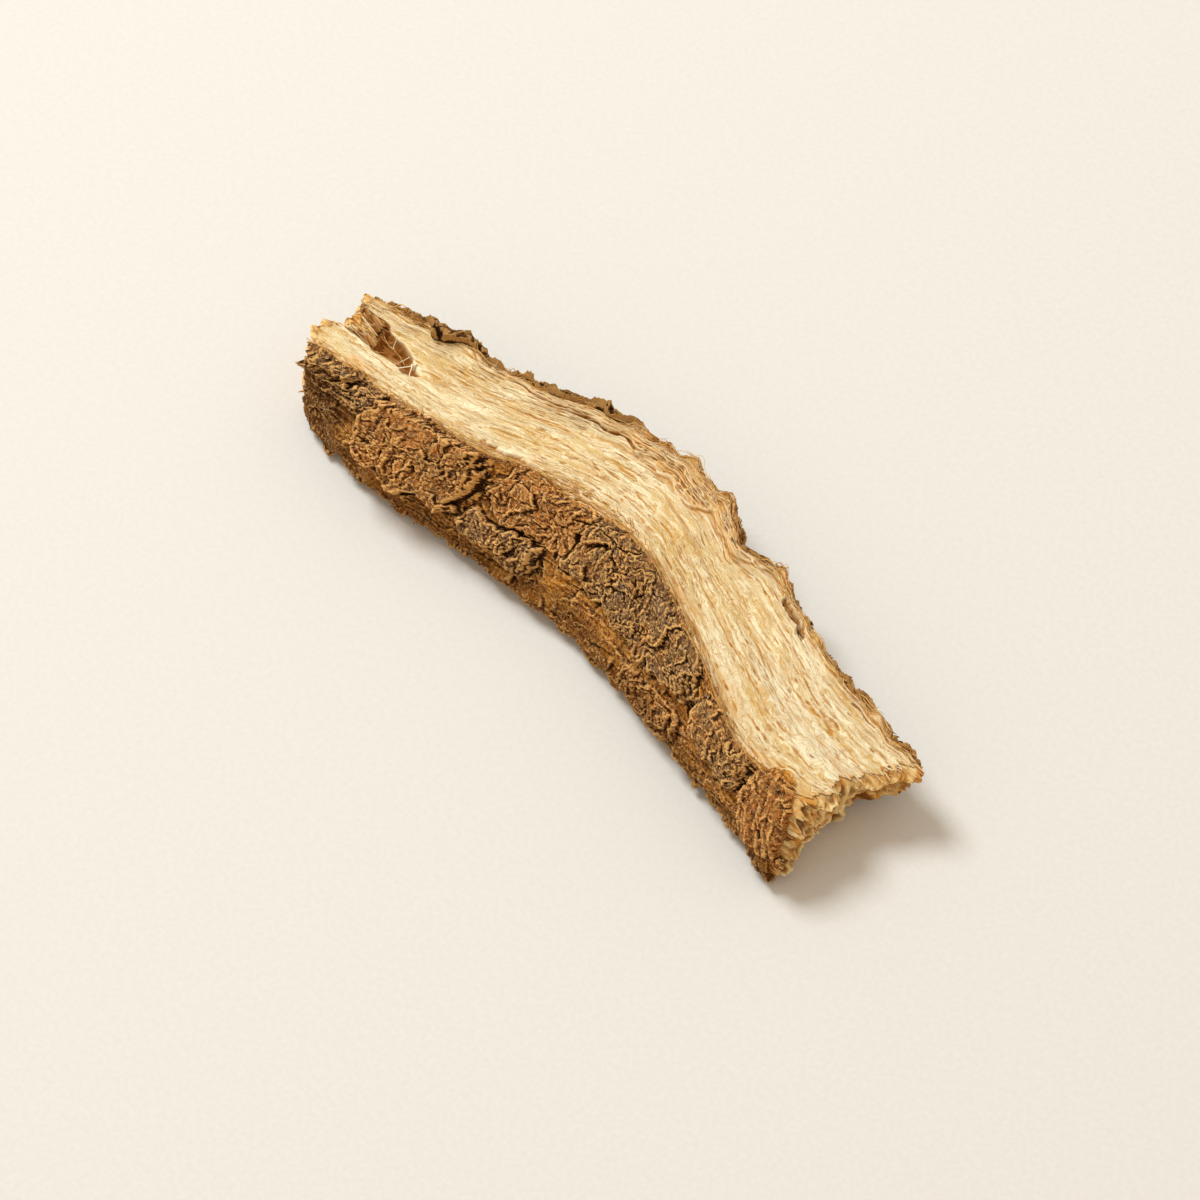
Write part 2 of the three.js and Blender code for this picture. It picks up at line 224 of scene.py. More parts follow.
def bark_curve(x, share):
    foot, near, far = along(NEAR_FOOT, x), near_rim(x), far_rim(x)
    top, far_top = along(NEAR_TOP, x), along(FAR_TOP, x)
    rise, width = top - FOOT_HEIGHT, far - foot
    y = spline([near, near + 0.4 * (foot - near), near + 0.78 * (foot - near), foot, foot + 0.1 * width,
                foot + 0.3 * width, foot + 0.56 * width, foot + 0.8 * width, far - 0.4, far], share)
    z = spline([top, FOOT_HEIGHT + 0.75 * rise, FOOT_HEIGHT + 0.42 * rise, FOOT_HEIGHT, 0.7, 0.3, 0.5, 1.9,
                far_top * 0.52, far_top], share)
    return y, z


def face_curve(x, share):
    near, far = near_rim(x), far_rim(x)
    top, far_top = along(NEAR_TOP, x), along(FAR_TOP, x)
    width = far - near
    y = spline([near, near + 0.34 * width, near + 0.68 * width, far - RIM_WIDTH, far], share)
    z = spline([top, far_top + 0.66 * (top - far_top) - FACE_DIP, far_top + 0.32 * (top - far_top) - FACE_DIP,
                far_top + 0.4, far_top], share)
    return y, z


def skin_curve(x, q):
    """The point of the section at q, which may run over either rim onto the inner face."""
    width = far_rim(x) - near_rim(x)
    bark = bark_curve(x, q / GIRTH)
    face = face_curve(x, np.where(q < 0, -q / width, 1 - (q - GIRTH) / width))
    on_face = (q < 0) | (q > GIRTH)
    return np.where(on_face, face[0], bark[0]), np.where(on_face, face[1], bark[1])


def raised(x, q, height, reach=0.35):
    """Points over or under the skin at q, by height, in millimetres."""
    x, q, height = np.broadcast_arrays(x, q, height)
    y, z = skin_curve(x, q)
    y0, z0 = skin_curve(x, q - reach)
    y1, z1 = skin_curve(x, q + reach)
    length = np.hypot(y1 - y0, z1 - z0) + 1e-9
    return np.stack([x, y + height * (z1 - z0) / length, z - height * (y1 - y0) / length], -1)


def face_q(x, share):
    """The q of a place on the inner face, by its share of the way from the near rim to the far rim."""
    return -share * (far_rim(x) - near_rim(x))


def tear(end, q):
    """Where the strip is torn off at q."""
    keys, seed = end
    bark_round = along(ROUND_OF_BARK, np.clip(q / GIRTH, 0, 1))
    share = np.where(q < 0, -q / FACE_WIDTH, 1 - (q - GIRTH) / FACE_WIDTH)
    round_ = np.where((q < 0) | (q > GIRTH), 1 - 0.387 * share, bark_round)
    column = round_ * 62
    jag = 0.65 * noise(column * 0.37, 0, seed) + 0.45 * noise(column * 2.1, 0, seed + 5)
    return along(keys, round_) + jag + 0.14 * noise(column * 6.3, 0, seed + 6)


def lengthwise(q, t, inside=0.0):
    """x at a share t of the way between the two tears, or between lines that far inside them."""
    return (tear(UPPER_END, q) + inside) * (1 - t) + (tear(LOWER_END, q) - inside) * t


def clear_of_tears(x, q, margin):
    return (x > tear(UPPER_END, q) + margin) & (x < tear(LOWER_END, q) - margin)


print("section at the middle:", [round(float(v), 2) for v in (near_rim(0.0), far_rim(0.0))])

# %% [markdown]
# ## A closed tube from a sheet
#
# A long irregular skin could be sculpted by hand, or built as a sheet and rolled up. Rolling keeps even
# rows of faces, which follow the fibres. The sheet starts as Blender's own grid. Each of its points is put
# in place by formula, the two long edges are merged into one seam, and the holes at the ends are filled.

# %% Rolling a sheet up
def new_grid(name, columns, rows):
    bpy.ops.object.select_all(action="DESELECT")
    bpy.ops.mesh.primitive_grid_add(x_subdivisions=columns, y_subdivisions=rows, size=2)
    piece = bpy.context.object
    piece.name = piece.data.name = name
    flat = np.empty(len(piece.data.vertices) * 3)
    piece.data.vertices.foreach_get("co", flat)
    flat = flat.reshape(-1, 3)
    column = np.rint((flat[:, 0] + 1) / 2 * columns).astype(int)
    row = np.rint((flat[:, 1] + 1) / 2 * rows).astype(int)
    return piece, column, row


def paint_points(piece, fields):
    """Keeps a number for each point under a name that the materials read."""
    for name, values in fields.items():
        layer = piece.data.attributes.new(name, "FLOAT", "POINT")
        layer.data.foreach_set("value", np.ascontiguousarray(values, np.float32).ravel())


def lay_map(piece, u, v):
    """A map of real lengths, in centimetres, for patterns that follow the grain."""
    layer = piece.data.uv_layers.active or piece.data.uv_layers.new(name="UVMap")
    corner = np.empty(len(piece.data.loops), np.int32)
    piece.data.loops.foreach_get("vertex_index", corner)
    layer.data.foreach_set("uv", np.stack([u[corner], v[corner]], -1).astype(np.float32).ravel() * 0.1)


def on_floor(points):
    """Millimetres to metres, the middle over the origin, nothing under the floor and no chip too far out."""
    placed = points - MIDDLE
    past = placed[:, 1] - FAR_SIDE
    placed[:, 1] = np.where(past > 0, FAR_SIDE + 0.4 * past, placed[:, 1])
    high = placed[:, 2] - CEILING
    placed[:, 2] = np.where(high > 0, CEILING + 0.4 * high, np.maximum(placed[:, 2], 0))
    return placed * 0.001


def roll_up(name, points, fields, u, v):
    """points is rings x columns x 3 in millimetres. Fields, u and v are rings x columns."""
    rings, columns = points.shape[:2]
    piece, column, ring = new_grid(name, columns, rings - 1)
    wrapped = column % columns
    placed = on_floor(points[ring, wrapped])
    piece.data.vertices.foreach_set("co", placed.ravel())
    paint_points(piece, {name_: value[ring, wrapped] for name_, value in fields.items()})
    lay_map(piece, u[ring, wrapped], v[ring, wrapped])
    bpy.ops.object.mode_set(mode="EDIT")
    bpy.ops.mesh.select_all(action="SELECT")
    bpy.ops.mesh.remove_doubles(threshold=1e-7)
    bpy.ops.mesh.fill_holes(sides=0)
    bpy.ops.mesh.select_all(action="SELECT")
    bpy.ops.mesh.normals_make_consistent(inside=False)
    bpy.ops.object.mode_set(mode="OBJECT")
    bpy.ops.object.shade_smooth()
    print(name, len(piece.data.polygons), "faces, size in mm", [round(d * 1000, 1) for d in piece.dimensions])
    return piece


# %% [markdown]
# ## The inner face
#
# The inner face is bast: fibres that ran along the root. Torn open, it shows broad swells, layers that are
# torn off with frayed edges, and finer and finer ridges. Each is noise that is drawn out along the strip,
# and they differ only in size. The fibres run straight on where a torn rim doesn't, so they are laid in
# lanes between two smooth lines. A few splits and the gash at the upper end are placed where the real ones
# are.

# %% Relief of the inner face
# Each: from x, to x, the share where it starts and ends, half width and depth.
SPLITS = [(-26, -15, 0.765, 0.70, 0.13, 0.5), (-19, -7.5, 0.69, 0.655, 0.2, 0.8),
          (-21, -12, 0.13, 0.045, 0.3, 0.9), (-11.5, -7, 0.05, 0.05, 0.4, 0.7),
          (5, 33, 0.035, 0.045, 0.28, 1.0), (1.5, 12.5, 0.87, 0.89, 0.26, 1.4),
          (16.6, 21.8, 0.80, 0.75, 0.7, 2.4), (-40, -31, 0.80, 0.86, 0.16, 0.4),
          (-6, 4, 0.92, 0.90, 0.2, 0.6), (-15, -9, 0.36, 0.33, 0.10, 0.2), (31, 35, 0.74, 0.78, 0.2, 0.6),
          (18, 22, 0.40, 0.39, 0.08, 0.2), (25, 29, 0.57, 0.55, 0.08, 0.2), (6, 9.5, 0.60, 0.62, 0.08, 0.2),
          (-31, -21, 0.05, 0.045, 0.12, 0.4), (-7, 4, 0.05, 0.045, 0.12, 0.4)]
# The edge of a torn layer along the far side, as [x, share].
LEDGE = [(-47, 0.84), (-36, 0.80), (-24, 0.74), (-12, 0.68), (-5, 0.58), (0, 0.52), (5, 0.62), (12, 0.76),
         (20, 0.80), (32, 0.82), (43, 0.86)]
# Knobs on the far rim and a small knot on the face: x, share, half length, half width, height.
KNOBS = [(14.6, 0.95, 2.0, 1.2, 0.7), (23.2, 0.93, 1.8, 1.1, 0.8), (34.4, 0.92, 2.0, 1.2, 0.9),
         (3.2, 0.93, 1.8, 1.0, 0.6), (-3.0, 0.95, 1.6, 1.0, 0.6), (29.3, 0.52, 0.45, 0.3, 0.22)]


def lanes(x, share):
    """How far across the fibres a place is, in millimetres of a face FACE_WIDTH wide."""
    near, far = along(NEAR_RIM, x), along(FAR_RIM, x)
    return FACE_WIDTH * (near_rim(x) + share * (far_rim(x) - near_rim(x)) - near) / (far - near)


def gash_depth(x, share, lane):
    """The hollow at the upper end, with torn walls of fibre left standing in it."""
    open_ = np.clip((-33.0 - x) / 12.5, 0, None)
    centre = 0.30 + (0.56 - 0.30) * open_
    half = 0.2 * np.minimum(1, np.maximum(open_, 1e-6) ** 0.7)
    inside = 1 - step(0.6, 1.0, np.abs(share - centre) / half)
    folds = waves(x, lane, (1, 4.2, 0.95, 231), (0.25, 1.1, 0.4, 232))
    walls = 1 - step(0.05, 0.35, np.abs(folds))
    webs = 1 - step(0.05, 0.3, np.abs(noise(x / 1.6, lane / 0.42, 234)))
    standing = (0.3 + 0.55 * step(-36.5, -39.0, x)) * np.maximum(walls, 0.6 * webs)
    standing = standing * (0.8 + 0.5 * noise(x / 1.3, lane / 0.6, 233))
    return 2.4 * inside * step(0, 0.25, open_) * (1 - standing) * (1 - 0.75 * step(-39.5, -42.5, x))


def split_depth(x, share, width):
    depth = np.zeros(np.shape(x))
    ragged = 0.5 * noise(x / 0.8, 0, 217) + 0.3 * noise(x / 0.35, share * 30, 218)
    for start, end, from_, to, half, deep in SPLITS:
        run = np.clip((x - start) / (end - start), 0, 1)
        wander = from_ + (to - from_) * run + 0.004 * noise(x / 2.1, 0, int(abs(start) * 10))
        off = np.abs(share - wander) * width + half * ragged
        depth = depth + deep * np.sqrt(np.sin(np.pi * run)) * (1 - step(0.3 * half, 1.3 * half, off))
    return depth


def torn_layer(x, lane, seed, cover):
    """1 where a thin layer of fibres is still on, 0 where it came off. Its edge frays along the grain."""
    level = waves(x, lane, (1, 13, 2.4, seed), (0.35, 3.2, 0.5, seed + 1), (0.22, 1.4, 0.17, seed + 2))
    return step(-0.04, 0.04, level + cover)


def face_relief(x, share):
    """Height over the smooth face, and the masks that colour it."""
    width = far_rim(x) - near_rim(x)
    lane = lanes(x, share)
    lane = lane + waves(x, lane, (0.7, 17, 6, 31), (0.10, 3.4, 0.9, 34))
    lane = lane + 0.05 * noise(x / 1.2, lane / 0.4, 30)
    swell = waves(x, lane, (0.34, 20, 1.8, 32), (0.18, 10, 0.75, 33))
    flutes = 0.42 * step(2, 18, x) * (0.5 - 0.5 * np.cos(2 * np.pi * 3.5 * share))
    ridges = waves(x, lane, (0.05, 5.0, 0.27, 35), (0.03, 2.0, 0.14, 36))
    cords = 0.04 * thin_lines(x / 5, lane / 0.4, 37, 0.3) + 0.03 * thin_lines(x / 1.6, lane / 0.3, 29, 0.25)
    layers = 0.13 * torn_layer(x, lane, 200, 0.1) + 0.08 * torn_layer(x, lane, 210, -0.1)
    ledge = along(LEDGE, x) + 0.03 * noise(x / 2.6, 3, 215) + 0.012 * noise(x / 0.8, 3, 216)
    layers = layers + 0.32 * step(-0.012, 0.012, share - ledge)
    lace = step(0.0, 0.1, share - ledge + 0.06 * noise(x / 1.8, lane / 0.8, 45)) * step(-46, -36, x)
    _, gap, own, _, _ = cells(x / 1.3 + 0.4 * noise(x / 2, lane / 0.7, 47), lane / 0.42, 44)
    pits = lace * step(0.12, 0.45, gap) * step(0.2, 0.5, own)
    nearest, _, own, _, _ = cells(x / 4.2, lane / 1.1, 46)
    pores = step(0.11, 0.05, nearest) * step(-4, 8, x) * step(0.45, 0.6, own)
    knobs = np.zeros(np.shape(x))
    for place, at, long, wide, high in KNOBS:
        off = np.hypot((x - place) / long, (share - at) * FACE_WIDTH / wide)
        off = off + 0.12 * noise(x / 0.8, lane / 0.5, 48)
        knobs = knobs + high * step(1.0, 0.35, off)
    row = np.floor(lane / 0.34)
    run = x / (2.5 + 5 * chance(row, 3, 38)) + chance(row, 4, 38) * 7
    ends = 0.06 * (run - np.floor(run)) ** 3 * step(-0.1, 0.5, noise(x / 6, lane / 2.2, 39))
    sides = 0.5 * step(0.55, 0.95, share) + 0.3 * step(0.12, 0.0, share)
    crowded = step(-0.3, 0.7, noise(x / 6, lane / 2.4, 41) + sides)
    dash = 0.7 * step(0.46, 0.66, noise(x / 0.9, lane / 0.11, 40)) * crowded
    dash = np.maximum(dash, np.maximum(pits, pores))
    ragged_x, ragged_share = 0.5 * noise(x / 1.2, lane / 0.5, 42), 0.02 * noise(x / 1.5, lane / 0.7, 43)
    gash = gash_depth(x + ragged_x, share + ragged_share, lane)
    splits = split_depth(x, share, width)
    height = swell - flutes + ridges + cords + layers + ends + knobs - 0.09 * dash - 0.2 * pits
    height = height - gash - splits
    # Darker in the gash and the splits: partly the amber of their torn walls, partly painted shade.
    depth = np.clip(gash / 0.35 + splits / 1.1, 0, 1)
    return height - 0.1, {"depth": depth, "dash": dash}


def edge_of_face(share):
    return step(0, 0.7, np.minimum(share, 1 - share) * FACE_WIDTH)


# %% [markdown]
# The fibres are the finest thing on the strip, so the sheet has many columns across and fewer rings along.
# Out of sight under the cork it follows the bark at a distance, so that no crack looks into an empty shell.
# What lies lower than its surroundings, in fine creases and wider hollows, is painted darker as shade, and
# what stands higher is painted lighter as a highlight.

# %% The fibrous body
FACE_COLUMNS = 226
HIDDEN_COLUMNS = 12
FACE_RINGS = 414


def tucked(points, *grids):
    """The rings with one more at each end, drawn in under the last, so that the closing face is hidden."""
    ends = []
    for ring, inward in ((points[:1], 3.0), (points[-1:], -3.0)):
        middle = ring.mean(1, keepdims=True)
        ends.append(middle + (ring + [inward, 0, -0.6] - middle) * [1, 0.8, 0.7])
    points = np.concatenate([ends[0], points, ends[1]])
    return points, *(np.concatenate([grid[:1], grid, grid[-1:]]) for grid in grids)


def fibre_body():
    share = np.linspace(-0.012, 1.012, FACE_COLUMNS)
    hidden = np.linspace(GIRTH * 0.985, GIRTH * 0.015, HIDDEN_COLUMNS)
    t = np.linspace(0, 1, FACE_RINGS)[:, None]
    q_face = -share * FACE_WIDTH
    x = lengthwise(q_face, t)
    inner = np.clip(share, 0, 1)[None]
    height, fields = face_relief(x, inner)
    # Painted shade and highlight: darker in creases, hollows and on steep walls, lighter on ridges.
    slope = np.abs(np.gradient(height, FACE_WIDTH / FACE_COLUMNS, axis=1))
    fields["crease_shading"] = (smeared(height, 1, 3) - height) / 0.06 + 0.6 * step(0.5, 1.5, slope)
    fields["hollow"] = (smeared(height, 4, 14) - height) / 0.2
    edge = np.minimum(inner, 1 - inner) * FACE_WIDTH
    height = height * edge_of_face(inner) - 0.5 * (1 - step(0, 0.5, edge))
    top = raised(x, np.minimum(face_q(x, inner), -1e-4), height)
    x_under = lengthwise(hidden, t, 1.0)
    under = raised(x_under, hidden[None], -0.9)
    points = np.concatenate([top, under], 1)
    lane = lanes(x, inner)
    ragged = waves(x, lane, (0.9, 3.0, 1.0, 220), (0.5, 0.9, 0.3, 221))
    ending = np.minimum(x - tear(UPPER_END, q_face), tear(LOWER_END, q_face) - x) + 0.3 * ragged
    fields["rim"] = np.maximum(step(2.2, 0.5, edge + ragged), step(0.6, 0.0, ending))
    ledge = along(LEDGE, x)
    fields["far"] = step(-0.08, 0.08, inner - ledge + 0.05 * ragged)
    fields["pale"] = step(-6, 20, x) * step(0.1, 0.35, inner) * step(0.95, 0.7, inner)
    pad = np.zeros((FACE_RINGS, HIDDEN_COLUMNS))
    fields = {name: np.concatenate([value, pad + (name == "rim")], 1) for name, value in fields.items()}
    u, v = np.concatenate([x, x_under], 1), np.concatenate([lane, pad], 1)
    points, u, v, *masks = tucked(points, u, v, *fields.values())
    return roll_up("inner_fibres", points, dict(zip(fields, masks)), u, v)


inner_fibres = fibre_body()

# %% [markdown]
# ## The cork
#
# Cork grows in layers and cracks into plates as the root swells. Some plates are still on and stand a
# millimetre proud with broken edges, and where they fell off a fibrous orange layer is bare. So the height
# is built in steps: which plate, then its cracks, then chips in three sizes, each chip a little torn scale
# that turns up at its edge.

# %% Relief of the cork
# Each plate: place along, place round from the near rim, half length, half width, thickness, how grey.
PLATES = [(-38.2, 2.4, 6.4, 3.2, 1.0, 0.95), (-24.6, 4.8, 7.8, 4.6, 2.2, 0.3),
          (-9.2, 2.6, 6.2, 3.6, 0.8, 0.3), (-11.0, 8.2, 5.2, 1.8, 1.2, 1.0),
          (8.0, 3.0, 11.6, 4.2, 1.4, 0.95), (14.6, 10.0, 5.2, 2.2, 0.8, 0.3),
          (25.6, 3.4, 5.2, 3.8, 0.9, 0.7), (35.6, 4.6, 4.2, 5.4, 1.0, 0.0)]
# A plate is a stack of layers, each ending at its share of the plate's size.
LAYER_EDGES = (1.0, 0.975, 0.91)
# Under the strip, scales take the plates' place from here on.
BACK_FROM = 11.5


def scales(x, q):
    _, gap, own, _, _ = cells(x / 7.0, q / 4.0, 21)
    return 0.8 * (0.35 + 0.65 * own) * step(0.02, 0.22, gap), own


def bark_relief(x, q):
    """Height over the smooth bark, and the masks that colour it."""
    wx = x + waves(x, q, (0.8, 3.1, 2.6, 11), (0.3, 0.9, 0.8, 71))
    wq = q + waves(x, q, (0.8, 3.1, 2.6, 12), (0.3, 0.9, 0.8, 73))
    fx = wx + 0.12 * noise(x / 0.33, q / 0.3, 72)
    fq = wq + 0.12 * noise(x / 0.33, q / 0.3, 74)
    plate = np.zeros(np.shape(wx))
    grey = np.full(np.shape(wx), 0.15)
    for place, down, long, wide, thick, tone in PLATES:
        out = (np.abs((wx - place) / long) ** 4 + np.abs((wq - down) / wide) ** 4) ** 0.25
        height = np.zeros(np.shape(wx))
        for layer, edge in enumerate(LAYER_EDGES):
            torn = out + waves(x, q, (0.06, 1.2, 1.0, 110 + layer), (0.03, 0.4, 0.35, 120 + layer))
            height = height + thick / len(LAYER_EDGES) * (1 - step(edge - 0.02, edge + 0.02, torn))
        grey = np.where(height > plate, tone, grey)
        plate = np.maximum(plate, height)
    back, own = scales(wx, wq)
    behind = step(BACK_FROM, BACK_FROM + 2, q)
    grey = np.where(behind * back > plate, 0.2 + 0.7 * own, grey)
    plate = np.maximum(plate, behind * back)
    cork = step(0.08, 0.35, plate)
    rough = 0.75 + 0.6 * noise(x / 3.4, q / 2.4, 76)
    flap = step(31.5, 33.5, x)
    crag = 0.62 * chips(fx / 3.0, fq / 1.8, 81, 0.1) * (1 - 0.5 * flap)
    scale = 0.33 * rough * chips(fx / 1.25, fq / 0.85, 84, 0.25) * (1 - flap)
    small = 0.18 * rough * chips(fx / 0.5, fq / 0.36, 75) * (1 - 0.5 * flap)
    felt = 0.09 * thin_lines(fx / 0.5, fq / 0.36, 87, 0.25) + 0.03 * noise(x / 0.25, q / 0.2, 89)
    felt = felt * (1 - 0.5 * flap)
    slant = x - 0.35 * q + 0.3 * noise(x / 2.4, q / 3.0, 102)
    streaks = 0.22 * chips(slant / 0.8, q / 3.4, 101, 0.2) + 0.09 * noise(slant / 0.3, q / 1.8, 103)
    torn_down = flap * streaks
    broken = step(-0.2, 0.2, noise(x / 3.5, q / 2.5, 77))
    over = step(GIRTH - 2.0, GIRTH - 1.0, q) * step(-5, -9, x)
    lines = thin_lines(wx / 4.5, wq / 2.6, 79, 0.05) + 0.4 * thin_lines(fx / 2.4, fq / 1.6, 80, 0.05)
    crack = broken * (1 - over) * lines
    wave = q + 0.45 * noise(x / 3.2, q / 1.5, 90) + 0.12 * (x - 8 * np.floor(x / 8))
    strips = waves(x, wave, (0.34, 7, 1.1, 15), (0.16, 3.0, 0.42, 91), (0.07, 1.4, 0.2, 92))
    strips = strips + 0.10 * thin_lines(x / 3.2, wave / 0.6, 93, 0.3) + 0.24 * chips(fx / 3.4, fq / 0.8, 94)
    lumps = 0.30 * noise(x / 2.4, q / 1.5, 13)
    scaly = cork * (0.8 * crag + scale + small + felt + torn_down - 0.4 * crack * (1 - flap))
    thinned = plate * (1 - 0.7 * step(1.4, 0.1, q))
    height = thinned + 0.8 * lumps + scaly + (1 - cork) * (strips + 0.4 * small + 0.5 * felt)
    calm = 0.4 * step(1.3, 0.2, GIRTH - q) * step(-12, -8, x)
    height = height * (1 - 0.4 * step(1.4, 0.1, q)) * (1 - calm) + 0.12
    # Painted shade low on the flank and on the upper near flank; on the far lip, its own dark brown.
    low = step(7.5, 12.0, q + 1.5 * noise(x / 3, q / 2, 98))
    upper_flank_shade = 1.5 * step(-31, -38, x) * step(2.5, 5.0, q)
    foot = np.maximum(np.maximum(low, upper_flank_shade), 0.5 * over)
    tone = grey + 0.6 * over + waves(x, q, (0.3, 2.7, 2.2, 95), (0.25, 0.9, 0.8, 96))
    return height, {"cork": np.maximum(cork, over), "grey": tone, "foot": foot}


# %% [markdown]
# The cork is a shell a millimetre thick: an outer side with all the relief and a plain inner side. It is
# made in two sheets, so that the flank that shows most gets the finest faces. On top it turns in over the
# rim and ends in a ragged lip, which is wide where a flap of cork still covers the lower corner.

# %% Bark shells
# How far the cork runs over each rim onto the face, as [x, value].
NEAR_LIP = [(-47, 0.5), (-41, 0.3), (-34, 0.4), (-26, 0.2), (-17, 0.12), (-12, 0.15), (-4, 0.15), (2, 0.12),
            (10, 0.12), (22, 0.15), (29, 0.25), (31.3, 0.5), (33.0, 1.5), (35, 1.3), (37, 0.8), (43, 0.6)]
FAR_LIP = [(-47, 0.3), (-43, 0.5), (-40, 1.3), (-37, 2.2), (-33, 2.4), (-29, 1.8), (-22, 1.5), (-16, 1.6),
           (-11, 1.7), (-8, 0.8), (-5, 0.35), (0, 0.4), (4, 1.0), (7, 1.5), (11, 1.4), (14, 0.5), (20, 0.3),
           (26, 0.35), (31, 0.4), (35, 0.6), (43, 0.3)]
THINNEST_LIP = 0.12
EDGE_ROUND = 0.15
CORK_THICK = 0.9


def lip_width(lip, x):
    over = along(lip, x) * (1 + 0.45 * noise(x / 2.4, 0, 96))
    ragged = waves(x, 0, (0.25, 1.0, 1, 97), (0.20, 0.45, 1, 98), (0.10, 0.2, 1, 99))
    return np.maximum(over + ragged, THINNEST_LIP)


def shell(name, q_from, q_to, columns, rings, hidden, lip, near):
    """A bark shell between q_from and q_to. On one side, near or far, its edge runs over the rim as a lip."""
    outer = np.linspace(0, 1, columns)
    t = np.concatenate([[0, 0], np.linspace(0, 1, rings), [1, 1]])[:, None]
    closing = np.concatenate([[1, 0.5], np.zeros(rings), [0.5, 1]])[:, None]
    rough_q = q_from + (q_to - q_from) * outer
    x = lengthwise(rough_q, t)
    over = lip_width(lip, x)
    low, high = (-over, q_to) if near else (q_from, GIRTH + over)
    q = low + (high - low) * outer[None]
    height, fields = bark_relief(x, q)
    past = (q - low) if near else (high - q)
    from_rim = np.where(q < 0, -q, np.where(q > GIRTH, q - GIRTH, 0))
    proud = 0.15 if near else 0.4
    height = height + step(0, 0.5, from_rim) * (proud + 0.3 * noise(x / 1.5, q / 1.1, 99))
    rounded = past / EDGE_ROUND
    tucked_in = height * np.sqrt(np.clip(rounded, 0, 1)) - 0.35 * (1 - rounded) ** 2
    height = np.where(past < EDGE_ROUND, tucked_in, height)
    # Painted shade in the cork's cracks and hollows, and a painted highlight on the raised edges of its
    # chips.
    fields["crease_shading"] = (smeared(height, 2, 1) - height) / 0.09
    fields["hollow"] = (smeared(height, 7, 5) - height) / 0.3
    top = raised(x, q, height * (1 - closing) - 0.45 * closing)
    back = np.linspace(0.99, 0.01, hidden)
    rough_back = q_from + (q_to - q_from) * back
    x_in = lengthwise(rough_back, t)
    over_in = np.maximum(along(lip, x_in) * 0.8, 0.1)
    low_in, high_in = (-over_in, q_to) if near else (q_from, GIRTH + over_in)
    q_in = low_in + (high_in - low_in) * back
    under = raised(x_in, q_in, -CORK_THICK + 0.45 * closing)
    points = np.concatenate([top, under], 1)
    nearest = columns + np.abs(outer[:, None] - back[None]).argmin(1)
    points[0, :columns], points[-1, :columns] = points[0, nearest], points[-1, nearest]
    ragged = waves(x, q, (0.7, 1.6, 1.0, 224), (0.5, 0.5, 0.4, 225))
    wide = 0.4 if near else 0.8
    golden = 1 if near else 1 - 0.75 * step(-6, -10, x) * step(-43, -40, x)
    fields["edge"] = np.maximum(golden * step(wide, 0.2 * wide, past + ragged), closing)
    pad = np.zeros((rings + 4, hidden))
    fields = {key: np.concatenate([value, pad + (key == "edge")], 1) for key, value in fields.items()}
    return roll_up(name, points, fields, np.concatenate([x, x_in], 1), np.concatenate([q, q_in], 1))


near_cork = shell("near_cork", -1.0, 14.0, 158, 546, 18, NEAR_LIP, True)
back_cork = shell("back_cork", 13.4, GIRTH, 132, 392, 22, FAR_LIP, False)
for cork in (near_cork, back_cork):
    cork.data.shade_flat()

# %% [markdown]
# ## The torn ends
#
# Inside the rims a torn end is a sponge: soft walls between pores, hollow in the middle. A closed plug fills
# each end. Its front is rings that shrink to one line, halfway between the bark and the face, where their
# upper and lower halves meet. Scattered cells push them out and in: the cells' edges are the walls and their
# middles are the pores. Later, thick torn bundles are set in front of it.

# %% Plugs of the torn ends
def sponge(y, z, seed):
    """How far the torn face stands out at a place: lobes, upright folds, and pores between thin walls."""
    wy = y + waves(y, z, (0.9, 1.9, 1.5, seed), (0.2, 0.5, 0.5, seed + 1))
    wz = z + waves(y, z, (0.9, 1.9, 1.5, seed + 2), (0.2, 0.5, 0.5, seed + 3))
    _, gap, own, _, _ = cells(wy / 1.5, wz / 1.7, seed + 4)
    _, gap2, own2, _, _ = cells(wy / 0.5, wz / 0.6, seed + 7)
    pore = step(0.12, 0.6, gap) * (0.35 + 0.65 * own)
    small = step(0.12, 0.55, gap2) * own2
    folds = 1 - 2 * np.abs(noise(wy / 1.3, wz / 3.0, seed + 13))
    lobes = 0.9 * noise(y / 2.8, z / 2.4, seed + 10)
    push = lobes + 0.4 * folds - 1.0 * pore - 0.35 * small
    return np.where(push < -0.4, -0.4 + 0.35 * (push + 0.4), push), pore, small


